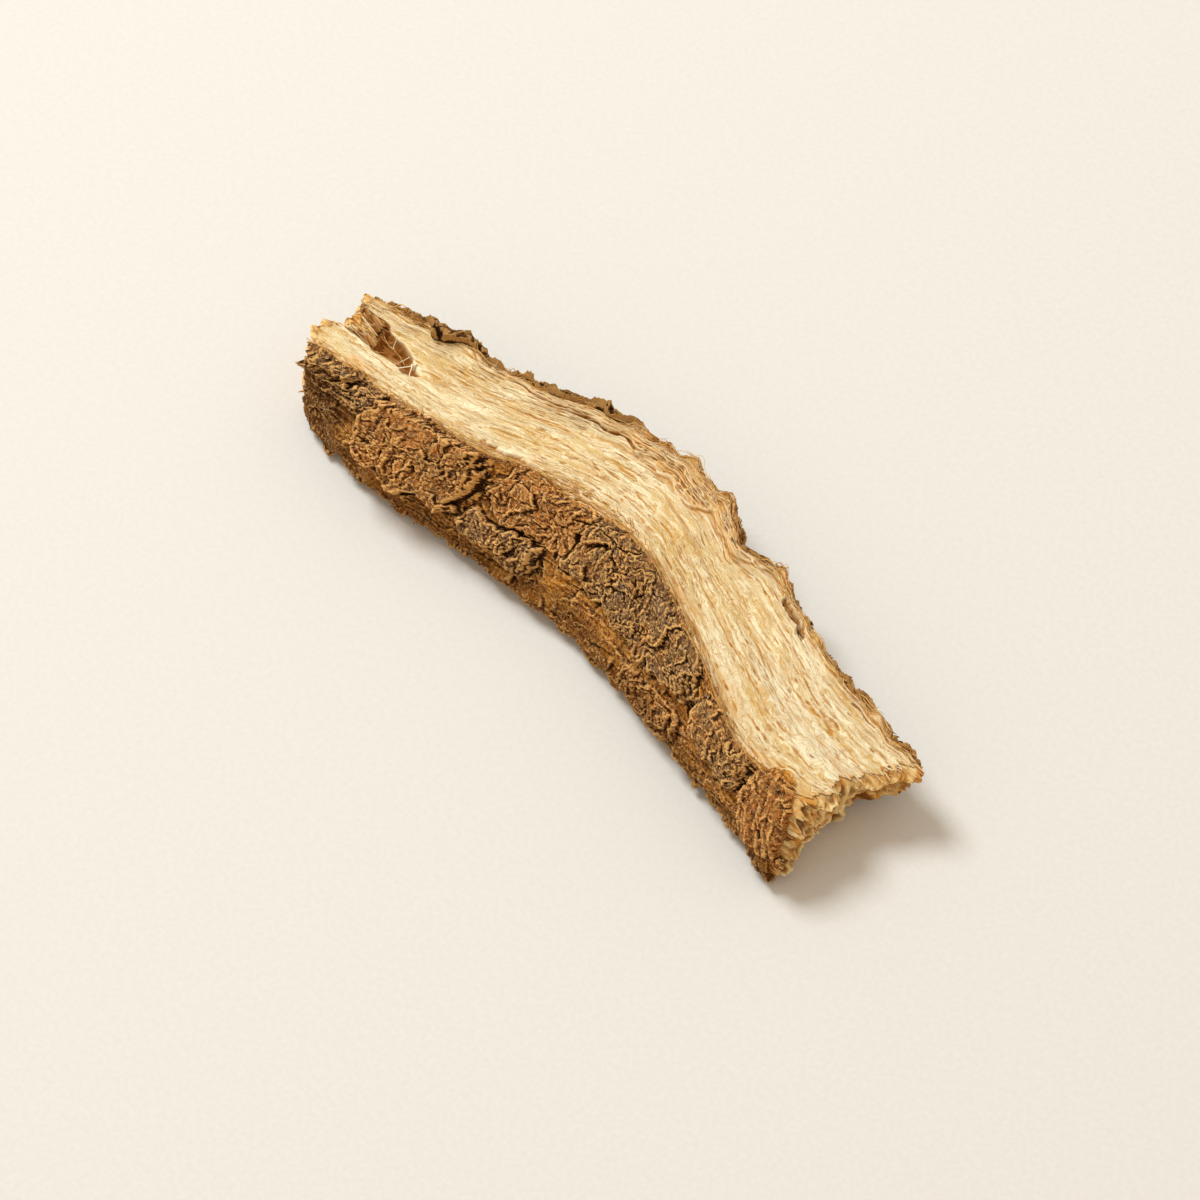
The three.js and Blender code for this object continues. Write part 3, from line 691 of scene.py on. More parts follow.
def torn_end(name, end, outward, columns=400, loops=66):
    part = np.arange(columns) / columns
    q = np.where(part < 0.5, part / 0.5 * GIRTH, GIRTH + (part - 0.5) / 0.5 * FACE_WIDTH)
    on_face = step(GIRTH - 1, GIRTH + 1, q) * step(GIRTH + FACE_WIDTH, GIRTH + FACE_WIDTH - 1, q)
    x = tear(end, q) - outward * (0.25 - 0.15 * on_face)
    width = far_rim(x) - near_rim(x)
    q = np.where(q > GIRTH, GIRTH + (q - GIRTH) / FACE_WIDTH * width, q)
    share = np.clip(1 - (q - GIRTH) / width, 0, 1)
    sunk = np.where(q > GIRTH, face_relief(x, share)[0] * edge_of_face(share) - 0.06, -0.12)
    rim = raised(x, q, sunk)
    seed = end[1]
    middle = rim.mean(0)
    facing = (rim + rim[-np.arange(columns) % columns]) / 2
    core = middle + (facing - middle) * [0.5, 0.8, 0.8]
    core[:, 0] += 0.3 * noise(core[:, 1] / 1.5, 0, seed) - outward * 0.3
    back = rim.copy()
    back[:, 0] -= outward * 3.0
    back = back * [1, 0.8, 0.7] + middle * [0, 0.2, 0.3]
    rings = [(back, *np.zeros((3, columns)))]
    for inward in np.linspace(0, 1, loops) ** 0.9:
        ring = rim * (1 - inward) + core * inward
        push, pore, small = sponge(ring[:, 1], ring[:, 2], seed + 100)
        swollen = 0.8 * math.sin(math.pi * min(1, inward / 0.6)) + 0.45
        push = np.where(push < 0, push * min(1, inward / 0.25), push)
        ring[:, 0] += outward * (push + swollen) * min(1, inward * 14)
        rings.append((ring, push, pore, small))
    points, push, pore, small = (np.stack(part) for part in zip(*rings))
    # Painted shade in the pores, large and small, and in the folds, and a painted highlight on the folds'
    # ridges.
    fields = {"depth": pore, "crease_shading": (smeared(push, 2, 2) - push) / 0.2, "small": small}
    return roll_up(name, points, fields, points[:, :, 1], points[:, :, 2])


torn_end_upper = torn_end("torn_end_upper", UPPER_END, -1)
torn_end_lower = torn_end("torn_end_lower", LOWER_END, 1)

# %% [markdown]
# ## Loose fibres
#
# What makes the strip look torn is its fuzz: single fibres that lift off the face, bundles that stick out
# of the ends, and threads that curl over the cork. Hair systems would do it, but they can't be exported as
# solid pieces. So one strand is modelled as a thin cylinder cut into rings, and its rings are laid along
# each fibre's own path.

# %% One strand, and many
def strand_template(sides, rings):
    bpy.ops.object.select_all(action="DESELECT")
    bpy.ops.mesh.primitive_cylinder_add(vertices=sides, radius=1, depth=2, end_fill_type="NGON")
    strand = bpy.context.object
    bpy.ops.object.mode_set(mode="EDIT")
    bpy.ops.mesh.select_mode(type="EDGE")
    bpy.ops.mesh.select_all(action="DESELECT")
    bpy.ops.object.mode_set(mode="OBJECT")
    for edge in strand.data.edges:
        a, b = (strand.data.vertices[i].co for i in edge.vertices)
        edge.select = abs(a.z - b.z) > 1
    bpy.ops.object.mode_set(mode="EDIT")
    bpy.ops.mesh.subdivide(number_cuts=rings - 2)
    bpy.ops.object.mode_set(mode="OBJECT")
    return take_template(strand)


def take_template(model):
    """The points and faces of a small model, which is then thrown away."""
    points = np.array([v.co for v in model.data.vertices])
    faces = [list(p.vertices) for p in model.data.polygons]
    bpy.data.objects.remove(model, do_unlink=True)
    return points, faces


def many(name, points, faces, shade):
    """One piece from points, copies x template points x 3 in millimetres, each copy with its own shade."""
    count, each = points.shape[:2]
    points = on_floor(points.reshape(-1, 3))
    first = (np.arange(count) * each)[:, None]
    all_faces = []
    for size in sorted({len(face) for face in faces}):
        block = np.array([face for face in faces if len(face) == size])
        all_faces += (first[:, None] + block[None]).reshape(-1, size).tolist()
    mesh = bpy.data.meshes.new(name)
    mesh.from_pydata(points.tolist(), [], all_faces)
    piece = bpy.data.objects.new(name, mesh)
    bpy.context.collection.objects.link(piece)
    paint_points(piece, {"shade": np.repeat(shade, each)})
    print(name, count, "copies,", len(mesh.polygons), "faces")
    return piece


def make_strands(name, path, radius, shade, sides=3):
    """path is strands x rings x 3 in millimetres, radius strands x rings, shade one number a strand."""
    rings = path.shape[1]
    model, faces = strand_template(sides, rings)
    ring = np.rint((model[:, 2] + 1) / 2 * (rings - 1)).astype(int)
    ahead = np.gradient(path, axis=1)
    ahead /= np.linalg.norm(ahead, axis=2, keepdims=True) + 1e-9
    side = np.cross(ahead, np.array([0.31, 0.17, 0.93]))
    side /= np.linalg.norm(side, axis=2, keepdims=True) + 1e-9
    over = np.cross(ahead, side)
    spoke = model[None, :, 0:1] * side[:, ring] + model[None, :, 1:2] * over[:, ring]
    points = path[:, ring] + radius[:, ring, None] * spoke
    piece = many(name, points, faces, shade)
    piece.data.shade_smooth()
    return piece


def rand(count, seed):
    return chance(np.arange(count), 0, seed)


def taper(radius, rings, tip=0.25):
    s = np.linspace(0, 1, rings)[None]
    return radius[:, None] * (tip + (1 - tip) * np.sqrt(np.clip(1 - np.abs(2 * s - 1) ** 3, 0, 1)))


# %% Fibres lifting off the inner face
def face_strands(name, count, seed, long, lift, thick, shares, rings=7):
    """Fibres of the face between two shares, as (least, most), as are their length and thickness."""
    s = np.linspace(0, 1, rings)[None]
    draw = lambda k: rand(count, seed + k)[:, None]
    lane = FACE_WIDTH * (shares[0] + (shares[1] - shares[0]) * draw(1))
    x = -44 + 84 * draw(0) + (long[0] + (long[1] - long[0]) * draw(2) ** 2) * (s - 0.5)
    drift = 0.35 * (draw(3) - 0.5) * (2 * s - 1)
    bend = 0.25 * (draw(9) - 0.5) * (2 * s - 1) ** 2
    near, far = along(NEAR_RIM, x), along(FAR_RIM, x)
    y = near + (lane + drift + bend) / FACE_WIDTH * (far - near)
    p = np.clip((y - near_rim(x)) / (far_rim(x) - near_rim(x)), 0.01, 0.99)
    height = face_relief(x, p)[0] * edge_of_face(p)
    height = 0.5 * height + 0.5 * height.max(1, keepdims=True)
    free, peel = draw(5), lift * draw(6) ** 3
    raise_ = np.where(free < 0.4, s ** 3, np.where(free < 0.8, (1 - s) ** 3, 1 - (2 * s - 1) ** 2))
    path = raised(x, face_q(x, p), height + peel * raise_)
    clear = (gash_depth(x, p, lanes(x, p)) < 0.2).all(1)
    starts, ends = x[:, :1] > tear(UPPER_END, -lane) - 0.5, x[:, -1:] < tear(LOWER_END, -lane) + 0.7
    keep = (starts & ends)[:, 0] & clear
    radius = taper(thick[0] + (thick[1] - thick[0]) * draw(7)[:, 0], rings)
    return make_strands(name, path[keep], radius[keep], draw(8)[keep, 0])


face_fibres = face_strands("face_fibres", 2000, 201, (1.0, 5.0), 0.45, (0.016, 0.034), (0.02, 0.98))
rim_fibres_near = face_strands("rim_fibres_near", 700, 301, (0.8, 3.5), 0.9, (0.025, 0.07), (-0.02, 0.08))
rim_fibres_far = face_strands("rim_fibres_far", 800, 321, (0.8, 4.0), 0.9, (0.03, 0.09), (0.82, 1.03))

# %% [markdown]
# At the ends the bundles broke at different lengths. Their roots are scattered over the whole section,
# between the bark below and the face above, and each bundle is a blunt stub that bends a little.

# %% Bundles standing out of the torn ends
def end_places(count, seed, end, x_at, lowest):
    """Places over an end's section, from a share lowest of the way up: where the tear is there, y and z."""
    share = np.linspace(0, 1, 200)
    bark_y, bark_z = bark_curve(np.full(200, x_at), share)
    face_y, face_z = face_curve(np.full(200, x_at), share)
    low = np.argmin(bark_y[:90])
    flank_y, flank_z, flank_share = (side[:low + 1][::-1] for side in (bark_y, bark_z, share))
    y = bark_y.min() + 0.15 + (bark_y.max() - bark_y.min() - 0.3) * rand(count, seed)
    bottom = np.interp(y, bark_y[low:], bark_z[low:])
    on_face = y > face_y[0]
    top = np.where(on_face, np.interp(y, face_y, face_z), np.interp(y, flank_y, flank_z))
    up = lowest + (0.96 - lowest) * rand(count, seed + 1)
    low_q = np.interp(y, bark_y[low:], share[low:]) * GIRTH
    flank_q = np.interp(y, flank_y, flank_share) * GIRTH
    top_q = np.where(on_face, -FACE_WIDTH * np.interp(y, face_y, share), flank_q)
    x = up * tear(end, top_q) + (1 - up) * tear(end, low_q)
    return x, y, bottom + (top - bottom) * up


def end_strands(name, end, seed, outward, count, thick, reach_most, lowest, rings=6):
    s = np.linspace(0, 1, rings)[None, :, None]
    draw = lambda k: rand(count, seed + k)
    x, y, z = end_places(count, seed, end, 37.5 if outward > 0 else -42.5, lowest)
    length = 0.9 + 0.9 * draw(4) ** 2
    from_ = x + outward * (reach_most * draw(12) ** 2 + 0.2 - length)
    inland = (near_rim(from_) + far_rim(from_) - near_rim(x) - far_rim(x)) / 2
    root = np.stack([from_, y + inland, z - 0.15], -1)
    aim = [np.full(count, float(outward)), 0.5 * (draw(5) - 0.5), 0.5 * (draw(6) - 0.6)]
    curl = [-outward * 0.25 * draw(7), 1.3 * (draw(8) - 0.5), 1.3 * (draw(9) - 0.55)]
    aim, curl = np.stack(aim, -1)[:, None], np.stack(curl, -1)[:, None]
    path = root[:, None] + length[:, None, None] * (s * aim + s ** 3 * 0.5 * curl)
    s = s[..., 0]
    size = (thick[0] + (thick[1] - thick[0]) * draw(10) ** 2)[:, None]
    knotty = 1 + 0.35 * noise(s * 5, np.arange(count)[:, None], seed + 13)
    radius = size * (0.4 + 0.6 * step(0, 0.3, s)) * (1 - 0.6 * s ** 4) * knotty
    return make_strands(name, path, radius, draw(11), sides=5)


end_bundles_upper = end_strands("end_bundles_upper", UPPER_END, 231, -1, 520, (0.08, 0.22), 0.3, 0.28)
end_bundles_lower = end_strands("end_bundles_lower", LOWER_END, 251, 1, 380, (0.09, 0.28), 0.4, 0.3)
end_frays_upper = end_strands("end_frays_upper", UPPER_END, 431, -1, 300, (0.025, 0.06), 0.5, 0.5)
end_frays_lower = end_strands("end_frays_lower", LOWER_END, 451, 1, 420, (0.025, 0.06), 0.7, 0.8)
# %% [markdown]
# A few pale threads still bridge the gash at the upper end.

# %% Threads across the gash
# Each: from x and share, to x and share, how high over the face it starts and ends, sag, and radius.
BRIDGES = [(-35.6, 0.26, -34.6, 0.42, -0.15, 0.0, 0.15, 0.08),
           (-35.0, 0.37, -33.4, 0.28, -0.05, -0.2, 0.1, 0.07),
           (-39.2, 0.54, -38.6, 0.44, 0.0, -0.8, 0.15, 0.05),
           (-36.8, 0.30, -36.3, 0.42, -0.7, -0.5, 0.2, 0.04)]


def bridge_threads():
    s = np.linspace(0, 1, 10)
    paths = []
    for i, (x0, p0, x1, p1, h0, h1, sag, _) in enumerate(BRIDGES):
        x = x0 + (x1 - x0) * s
        p = p0 + (p1 - p0) * s + 0.012 * np.sin(s * 5 + i)
        paths.append(raised(x, face_q(x, p), h0 + (h1 - h0) * s - sag * np.sin(np.pi * s)))
    radius = np.array([b[-1] for b in BRIDGES])[:, None] * (0.8 + 0.5 * np.abs(2 * s - 1) ** 2)
    return make_strands("bridge_threads", np.stack(paths), radius, np.full(len(BRIDGES), 0.95), sides=6)


gash_threads = bridge_threads()


def gash_fibres(name, count, seed, rings=7):
    """Torn fibres that hang in the gash, from wall to wall."""
    s = np.linspace(0, 1, rings)[None]
    draw = lambda k: rand(count, seed + k)[:, None]
    x = -44.0 + 6.5 * draw(0) + (1.6 + 2.6 * draw(1)) * (s - 0.5)
    open_ = np.clip((-33.0 - x) / 12.5, 0.02, None)
    off = 0.17 * (2 * draw(2) - 1) * np.minimum(1, open_ ** 0.7)
    share = 0.30 + 0.26 * open_ + off + 0.03 * (2 * draw(3) - 1) * (2 * s - 1)
    drop = 0.3 + 1.1 * draw(4) + 0.3 * np.sin(np.pi * s)
    path = raised(x, face_q(x, share), -drop * (1 - 0.5 * step(-40, -43, x)))
    keep = x.min(1) > tear(UPPER_END, -FACE_WIDTH * share.mean(1)) - 0.2
    radius = taper(0.03 + 0.03 * draw(5)[:, 0] ** 2, rings, 0.6)
    return make_strands(name, path[keep], radius[keep], draw(6)[keep, 0], sides=5)


gash_webs = gash_fibres("gash_webs", 18, 611)


# %% Curled threads on the cork
def cork_threads(name, count, seed, rings=6):
    s = np.linspace(0, 1, rings)[None]
    draw = lambda k: rand(count, seed + k)[:, None]
    x0, q0 = -42 + 80 * draw(0), 0.2 + 13 * draw(1)
    size = 0.10 + 0.30 * draw(2) ** 1.5
    sweep = (0.8 + 2.2 * draw(4)) * np.where(draw(5) < 0.5, -1, 1)
    turn = draw(3) * 6.283 + sweep * s
    x, q = x0 + size * np.cos(turn) * 1.3, q0 + size * np.sin(turn)
    path = raised(x, q, bark_relief(x, q)[0] + 0.13)
    radius = taper(0.018 + 0.022 * draw(6)[:, 0], rings)
    keep = clear_of_tears(x0[:, 0], q0[:, 0], 0.6)
    return make_strands(name, path[keep], radius[keep], draw(7)[keep, 0])


cork_felt = cork_threads("cork_felt", 2200, 271)

# %% [markdown]
# ## Loose flakes
#
# Thin flakes of cork hang on by one side and throw small shadows. One flake is modelled: a disc with two
# rings, given thickness. Each copy gets its own outline, tilt and curl, and stands on the bark where it
# grew.

# %% Flakes
def flake_template():
    bpy.ops.object.select_all(action="DESELECT")
    bpy.ops.mesh.primitive_circle_add(vertices=9, radius=1, fill_type="NGON")
    flake = bpy.context.object
    bpy.ops.object.mode_set(mode="EDIT")
    bpy.ops.mesh.select_all(action="SELECT")
    bpy.ops.mesh.inset(thickness=0.45, depth=0)
    bpy.ops.mesh.select_all(action="SELECT")
    bpy.ops.mesh.solidify(thickness=0.12)
    bpy.ops.object.mode_set(mode="OBJECT")
    points, faces = take_template(flake)
    # solidify makes the faces of the edge in another order each run
    return points, sorted(faces)


def flakes(name, x, q, size, lift, seed, spread=6.283):
    """Flakes on the bark at x and q. lift is how far each tilts up, spread how far each turns, in radians."""
    count = len(x)
    model, faces = flake_template()
    high = bark_relief(x, q)[0] + 0.1
    base = raised(x, q, high)
    ahead = raised(x + 0.2, q, high) - base
    round_ = raised(x, q + 0.2, high) - base
    ahead /= np.linalg.norm(ahead, axis=1, keepdims=True)
    outward = np.cross(ahead, round_)
    outward /= np.linalg.norm(outward, axis=1, keepdims=True)
    outward *= -np.sign((outward * (base - raised(x, q, 5.0))).sum(1, keepdims=True))
    round_ = np.cross(outward, ahead)
    angle = np.arctan2(model[:, 1], model[:, 0])
    reach = np.hypot(model[:, 0], model[:, 1])
    rim = 1 + 0.45 * noise(angle[None] * 1.6 + 5, np.arange(count)[:, None] * 3.7, seed)
    turn = spread * (rand(count, seed + 1)[:, None] - 0.5)
    stretch = 0.45 + 0.4 * rand(count, seed + 2)[:, None]
    a = reach * np.cos(angle) * rim
    b = reach * np.sin(angle) * rim * stretch
    tilt = lift[:, None]
    curl = 0.5 * (rand(count, seed + 3)[:, None] - 0.3)
    over = 0.06 + (a + 0.8) * np.sin(tilt) + curl * a * a + model[:, 2] * 0.6 / np.maximum(size[:, None], 0.3)
    a = a * np.cos(tilt)
    along_, across = a * np.cos(turn) - b * np.sin(turn), a * np.sin(turn) + b * np.cos(turn)
    scale = size[:, None, None]
    points = base[:, None] + scale * (along_[..., None] * ahead[:, None] + across[..., None] * round_[:, None]
                                      + over[..., None] * outward[:, None])
    return many(name, points, faces, rand(count, seed + 4))


def flank_flakes(count, seed):
    x = -43 + 81 * rand(count, seed)
    q = 0.1 + 13 * rand(count, seed + 1)
    keep = clear_of_tears(x, q, 0.8)
    x, q = x[keep], q[keep]
    size = 0.12 + 0.2 * rand(len(x), seed + 2) ** 3
    return flakes("flank_flakes", x, q, size, 0.05 + 0.5 * rand(len(x), seed + 3) ** 1.5, seed + 10)


def rim_flakes(count, seed):
    x = -43 + 81 * rand(count, seed)
    far = rand(count, seed + 5) < 0.5
    over = np.where(far, lip_width(FAR_LIP, x), lip_width(NEAR_LIP, x)) * rand(count, seed + 1)
    q = np.where(far, GIRTH + over - 0.4, -over + 0.4)
    keep = clear_of_tears(x, q, 0.8)
    x, q = x[keep], q[keep]
    size = 0.14 + 0.24 * rand(len(x), seed + 2) ** 2.5
    return flakes("rim_flakes", x, q, size, 0.05 + 0.35 * rand(len(x), seed + 3), seed + 10, 0.8)


cork_flakes = flank_flakes(460, 501)
edge_flakes = rim_flakes(300, 541)

# %% [markdown]
# ## Colour and finish
#
# Shader maths reads best as plain expressions, so one small class wraps a socket and turns + - * into Math
# nodes. Colours are mixed by Mix nodes. What varies over the surface comes from the numbers painted on the
# points and from noise drawn out along the map's first axis, the grain.

# %% Expressions for shader maths
class Wire:
    """A socket that can be added, taken off and multiplied."""

    def __init__(self, tree, socket):
        self.tree, self.socket = tree, socket

    def node(self, kind, inputs, out=0, **settings):
        made = self.tree.nodes.new(kind)
        for key, value in settings.items():
            setattr(made, key, value)
        for key, value in inputs.items():
            if isinstance(value, Wire):
                self.tree.links.new(value.socket, made.inputs[key])
            else:
                made.inputs[key].default_value = value
        return Wire(self.tree, made.outputs[out])

    def maths(self, operation, a, b=0.0):
        return self.node("ShaderNodeMath", {0: a, 1: b}, operation=operation)

    def __add__(self, other):
        return self.maths("ADD", self, other)

    def __sub__(self, other):
        return self.maths("SUBTRACT", self, other)

    def __rsub__(self, other):
        return self.maths("SUBTRACT", other, self)

    def __mul__(self, other):
        return self.maths("MULTIPLY", self, other)

    __radd__, __rmul__ = __add__, __mul__

    def limits(self, low, high):
        """0 at low, 1 at high, smooth between."""
        return self.node("ShaderNodeMapRange", {"Value": self, "From Min": low, "From Max": high},
                         interpolation_type="SMOOTHSTEP")

    def mix(self, first, second):
        """A colour that goes from first to second as this goes from 0 to 1."""
        inputs = {0: self, 6: first, 7: second}
        return self.node("ShaderNodeMix", inputs, out=2, data_type="RGBA", clamp_factor=True)


def coated(colour, *coats):
    """Colours laid over one another, each as thick as its mask."""
    for mask, tint in coats:
        colour = mask.mix(colour, rgb(*tint))
    return colour


def start_material(name, roughness, specular=0.25):
    material = bpy.data.materials.new(name)
    material.use_nodes = True
    tree = material.node_tree
    shader = tree.nodes["Principled BSDF"]
    shader.inputs["Roughness"].default_value = roughness
    shader.inputs["Specular IOR Level"].default_value = specular
    return material, Wire(tree, shader.inputs["Base Color"]), shader


def painted(wire, name):
    return wire.node("ShaderNodeAttribute", {}, out=2, attribute_name=name)


def grain(wire, along_, across, detail=3.0, seed=0.0, sway=0.0):
    """Noise drawn out along the grain. along_ and across are its sizes, sway its waviness, in millimetres."""
    place = wire.node("ShaderNodeUVMap", {})
    if sway:
        inputs = {"Vector": place, "Scale": 6.0, "Detail": 2.0}
        wavy = wire.node("ShaderNodeTexNoise", inputs, out=1, noise_dimensions="2D")
        inputs = {0: wavy, 1: (0, sway / 5, 0), 2: place}
        place = wire.node("ShaderNodeVectorMath", inputs, operation="MULTIPLY_ADD")
    inputs = {"Vector": place, "Scale": (10 / along_, 10 / across, 1), "Location": (seed, seed, 0)}
    inputs = {"Vector": wire.node("ShaderNodeMapping", inputs), "Scale": 1.0, "Detail": detail}
    return wire.node("ShaderNodeTexNoise", inputs, noise_dimensions="2D")


def spots(wire, size, detail=3.0):
    """Round noise in the piece's own space, its size in millimetres."""
    place = wire.node("ShaderNodeTexCoord", {}, out=3)
    return wire.node("ShaderNodeTexNoise", {"Vector": place, "Scale": 1000.0 / size, "Detail": detail})


def bump(wire, height, strength, distance):
    return wire.node("ShaderNodeBump", {"Height": height, "Strength": strength, "Distance": distance})


def finish_material(wire, shader, colour, normal=None):
    wire.tree.links.new(colour.socket, shader.inputs["Base Color"])
    if normal:
        wire.tree.links.new(normal.socket, shader.inputs["Normal"])


def rgb(red, green, blue):
    """A screen colour, 0 to 255, as the shader wants it."""
    shares = (red / 255, green / 255, blue / 255)
    return (*(c / 12.92 if c <= 0.04045 else ((c + 0.055) / 1.055) ** 2.4 for c in shares), 1.0)


# %% The fibres' finish
def fibre_material():
    material, wire, shader = start_material("straw_fibre", 0.75, 0.15)
    broad = grain(wire, 22, 2.6, 2.0)
    streak = grain(wire, 7, 0.5, 3.0, 3.0, 0.6)
    thread = grain(wire, 2.6, 0.13, 4.0, 7.0, 0.9)
    curl = grain(wire, 1.1, 0.2, 4.0, 11.0, 1.8)
    crease_shading, hollow = painted(wire, "crease_shading"), painted(wire, "hollow")
    colour = broad.limits(0.34, 0.64).mix(rgb(222, 190, 126), rgb(236, 218, 174))
    colour = coated(
        colour,
        (painted(wire, "pale") * (0.25 + broad.limits(0.3, 0.6) * 0.5), (234, 222, 190)),
        (streak.limits(0.51, 0.68) * 0.75, (252, 238, 198)),
        (streak.limits(0.48, 0.32) * 0.75, (212, 168, 92)),
        (thread.limits(0.53, 0.70) * 0.6, (255, 240, 200)),
        (thread.limits(0.46, 0.28) * 0.65, (206, 158, 80)),
        (curl.limits(0.40, 0.26) * 0.6, (186, 128, 52)),
        (painted(wire, "rim") * (0.2 + streak.limits(0.35, 0.62) * 0.6), (214, 152, 64)),
        (painted(wire, "far") * (0.5 + streak.limits(0.62, 0.36) * 0.45), (214, 154, 66)),
        # A painted highlight on ridges, then painted shade in wider hollows and in creases.
        (crease_shading.limits(-0.1, -1.1) * 0.45, (255, 240, 200)),
        (hollow.limits(0.1, 1.1) * 0.6, (206, 150, 68)),
        (crease_shading.limits(0.1, 1.1) * 0.8, (192, 128, 44)),
        # Gash and splits: partly the amber of their torn walls, partly painted shade.
        (painted(wire, "depth") * 0.9, (166, 106, 42)),
        (painted(wire, "dash") * 0.7, (160, 104, 40)))
    normal = bump(wire, thread * 0.5 + streak * 0.2 + curl * 0.5, 0.32, 0.00014)
    finish_material(wire, shader, colour, normal)
    return material


# %% The torn ends' finish
def sponge_material():
    material, wire, shader = start_material("torn_sponge", 0.75, 0.1)
    depth, crease_shading, small = painted(wire, "depth"), painted(wire, "crease_shading"), painted(wire, "small")
    patch, fine = spots(wire, 1.6), spots(wire, 0.22, 4.0)
    colour = patch.limits(0.36, 0.64).mix(rgb(214, 148, 64), rgb(246, 208, 138))
    colour = coated(
        colour,
        (fine.limits(0.46, 0.3) * 0.4, (176, 112, 44)),
        # A painted highlight on ridges, then painted shade in folds and in pores.
        (crease_shading.limits(-0.05, -0.8) * 0.8, (254, 232, 176)),
        (crease_shading.limits(0.05, 1.0) * 0.7, (160, 98, 36)),
        (small * 0.6, (146, 86, 30)),
        (depth * 0.9, (104, 60, 20)))
    finish_material(wire, shader, colour, bump(wire, fine, 0.5, 0.0001))
    return material


# %% The cork's finish
def cork_material():
    material, wire, shader = start_material("scaly_cork", 0.85, 0.1)
    cork, grey = painted(wire, "cork"), painted(wire, "grey")
    crease_shading, hollow = painted(wire, "crease_shading"), painted(wire, "hollow")
    blotch, fine = spots(wire, 1.8), spots(wire, 0.3, 4.0)
    # Pale curled fibres, partly a painted highlight, dimmed where shade is painted low on the flank.
    curls = grain(wire, 0.6, 0.46, 3.0, 31.0, 1.4) - 0.5
    wires = wire.maths("ABSOLUTE", curls).limits(0.05, 0.005)
    blot, mid = blotch.limits(0.50, 0.66), spots(wire, 0.7)
    plate = grey.limits(0.25, 0.95).mix(rgb(184, 114, 50), rgb(126, 92, 60))
    plate = coated(
        plate,
        (grey.limits(0.05, -0.4) * 0.8, (222, 128, 42)),
        (blot * grey.limits(0.4, 0.9) * 0.7, (120, 102, 92)),
        (blot * grey.limits(0.6, 0.3) * 0.5, (196, 116, 46)),
        (mid.limits(0.5, 0.66) * grey.limits(0.5, 0.2) * 0.6, (124, 88, 70)),
        (blotch.limits(0.46, 0.34) * 0.5, (108, 68, 38)))
    strip = grain(wire, 6, 0.5, 3.0, 5.0)
    bare = strip.limits(0.35, 0.65).mix(rgb(146, 80, 18), rgb(210, 140, 50))
    bare = (blot * 0.5).mix(bare, rgb(148, 84, 26))
    # Painted shade low and on the upper near flank, dimming the highlights; on the far lip, its dark brown.
    foot = painted(wire, "foot")
    lit = 1 - foot.limits(0, 1) * 0.5
    colour = coated(
        cork.mix(bare, plate),
        (painted(wire, "edge") * 0.6, (212, 148, 68)),
        (foot * 0.75, (92, 46, 2)),
        (mid.limits(0.48, 0.36) * 0.55, (78, 44, 18)),
        (fine.limits(0.52, 0.38) * 0.55, (70, 40, 16)),
        (wires * lit * 0.65, (236, 180, 108)),
        # A painted highlight on raised chip edges, then painted shade in hollows and cracks.
        (crease_shading.limits(-0.1, -0.9) * lit * 0.8, (242, 190, 116)),
        (hollow.limits(0.25, 1.2) * 0.8, (58, 32, 12)),
        (crease_shading.limits(0.12, 0.9) * 0.85, (52, 30, 12)))
    normal = bump(wire, fine + strip * 0.5 + wires * 0.6, 0.6, 0.0001)
    finish_material(wire, shader, colour, normal)
    return material


# %% The loose fibres' finish
def strand_material(name, dark, light, fine=False):
    material, wire, shader = start_material(name, 0.7)
    shade = painted(wire, "shade") * 0.7 + spots(wire, 1.2) * 0.3
    colour = shade.limits(0.1, 0.9).mix(dark, light)
    if fine:
        speck = spots(wire, 0.3, 4.0)
        colour = coated(colour, (speck.limits(0.5, 0.34) * 0.7, (66, 42, 24)),
                        (speck.limits(0.55, 0.7) * 0.7, (228, 184, 126)))
    finish_material(wire, shader, colour)
    return material


straw_fibre = fibre_material()
scaly_cork = cork_material()
torn_sponge = sponge_material()
pale_strand = strand_material("pale_strand", rgb(226, 182, 108), rgb(253, 240, 206))
amber_strand = strand_material("amber_strand", rgb(184, 118, 44), rgb(240, 198, 120))
cork_strand = strand_material("cork_strand", rgb(112, 78, 48), rgb(216, 176, 122))
cork_shard = strand_material("cork_shard", rgb(108, 72, 38), rgb(178, 122, 66), True)

finishes = [(inner_fibres, straw_fibre), (near_cork, scaly_cork), (back_cork, scaly_cork),
            (torn_end_upper, torn_sponge), (torn_end_lower, torn_sponge), (face_fibres, pale_strand),
            (rim_fibres_near, amber_strand), (rim_fibres_far, amber_strand),
            (end_bundles_upper, amber_strand), (end_bundles_lower, amber_strand),
            (end_frays_upper, pale_strand), (end_frays_lower, pale_strand),
            (gash_threads, pale_strand), (gash_webs, amber_strand),
            (cork_felt, cork_strand), (cork_flakes, cork_shard), (edge_flakes, cork_shard)]
for piece, material in finishes:
    piece.data.materials.clear()
    piece.data.materials.append(material)
    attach(piece, "root")
    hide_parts("root_bark_strip")
    piece.data.calc_loop_triangles()
triangles = {piece.name: len(piece.data.loop_triangles) for piece, _ in finishes}
print(len(finishes), "pieces dressed, with", sum(triangles.values()), "triangles in all")
print("the most in one piece:", max(triangles.values()))

# %% [markdown]
# ## Floor, light and camera
#
# The floor is a matt off-white sheet. One broad soft lamp stands high at the upper left, as a window would,
# and the pale sky fills the rest. The camera looks down at the photograph's angle through a long lens.

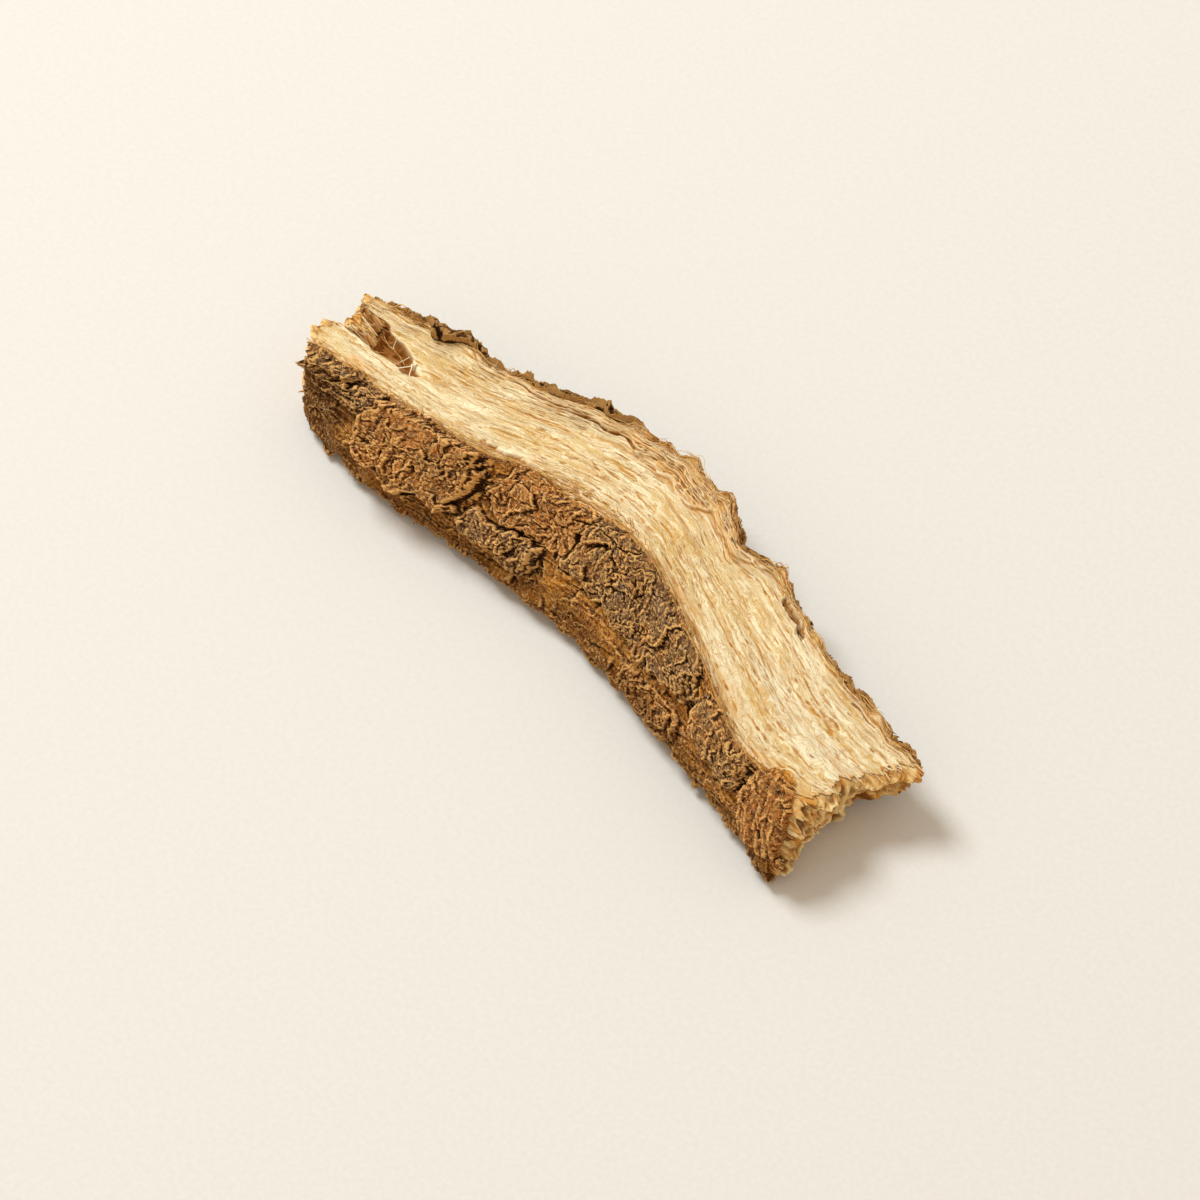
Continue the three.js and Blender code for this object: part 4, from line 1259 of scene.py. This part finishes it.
# %% Floor
bpy.ops.object.select_all(action="DESELECT")
bpy.ops.mesh.primitive_plane_add(size=4)
floor = bpy.context.object
floor.name = "floor"
sheet, wire, shader = start_material("matt_sheet", 0.9, 0.1)
paper = spots(wire, 0.6, 2.0)
paper_colour = paper.limits(0.2, 0.8).mix(rgb(226, 221, 212), rgb(230, 225, 217))
finish_material(wire, shader, paper_colour, bump(wire, paper, 0.08, 0.0002))
floor.data.materials.append(sheet)

# %% Camera
# The photo is PICTURE pixels wide, and a pixel is PIXEL millimetres at the strip.
LENS, SENSOR, PICTURE, PIXEL = 150.0, 36.0, 1200, 0.11
DOWN, ROUND = math.radians(55), math.radians(48.6)
DISTANCE = LENS / SENSOR * PICTURE * PIXEL
back = Vector((math.sin(ROUND) * math.cos(DOWN), -math.cos(ROUND) * math.cos(DOWN), math.sin(DOWN)))
right = Vector((math.cos(ROUND), math.sin(ROUND), 0))
up = back.cross(right)
focal = LENS / SENSOR * PICTURE
aim = Vector((-MIDDLE[0], -MIDDLE[1], 0)) - (6 / focal * right - 6 / focal * up - back) * DISTANCE
camera = bpy.data.objects.new("camera", bpy.data.cameras.new("camera"))
camera.data.lens, camera.data.sensor_width = LENS, SENSOR
camera.data.clip_start = 0.01
bpy.context.collection.objects.link(camera)
place = aim * 0.001
camera.matrix_world = Matrix(((right.x, up.x, back.x, place.x), (right.y, up.y, back.y, place.y),
                              (right.z, up.z, back.z, place.z), (0, 0, 0, 1)))
bpy.context.scene.camera = camera


# %% Light
def lamp(name, direction, far, size, power, colour):
    light = bpy.data.lights.new(name, "AREA")
    light.shape, light.size = "DISK", size
    light.energy, light.color = power, colour
    holder = bpy.data.objects.new(name, light)
    direction = direction.normalized()
    holder.location = direction * far
    holder.rotation_euler = direction.to_track_quat("Z", "Y").to_euler()
    bpy.context.collection.objects.link(holder)


level_up = Vector((-math.sin(ROUND), math.cos(ROUND), 0))
upper_left = level_up * 0.6 - right * 0.6 + Vector((0, 0, 1.15))
lamp("window", upper_left, 1.2, 0.5, 11.8, (0.85, 0.93, 1.0))
world = bpy.data.worlds.new("studio")
bpy.context.scene.world = world
world.use_nodes = True
world.node_tree.nodes["Background"].inputs["Color"].default_value = (1.0, 0.89, 0.75, 1)
world.node_tree.nodes["Background"].inputs["Strength"].default_value = 0.64
bpy.context.scene.view_settings.view_transform = "Standard"
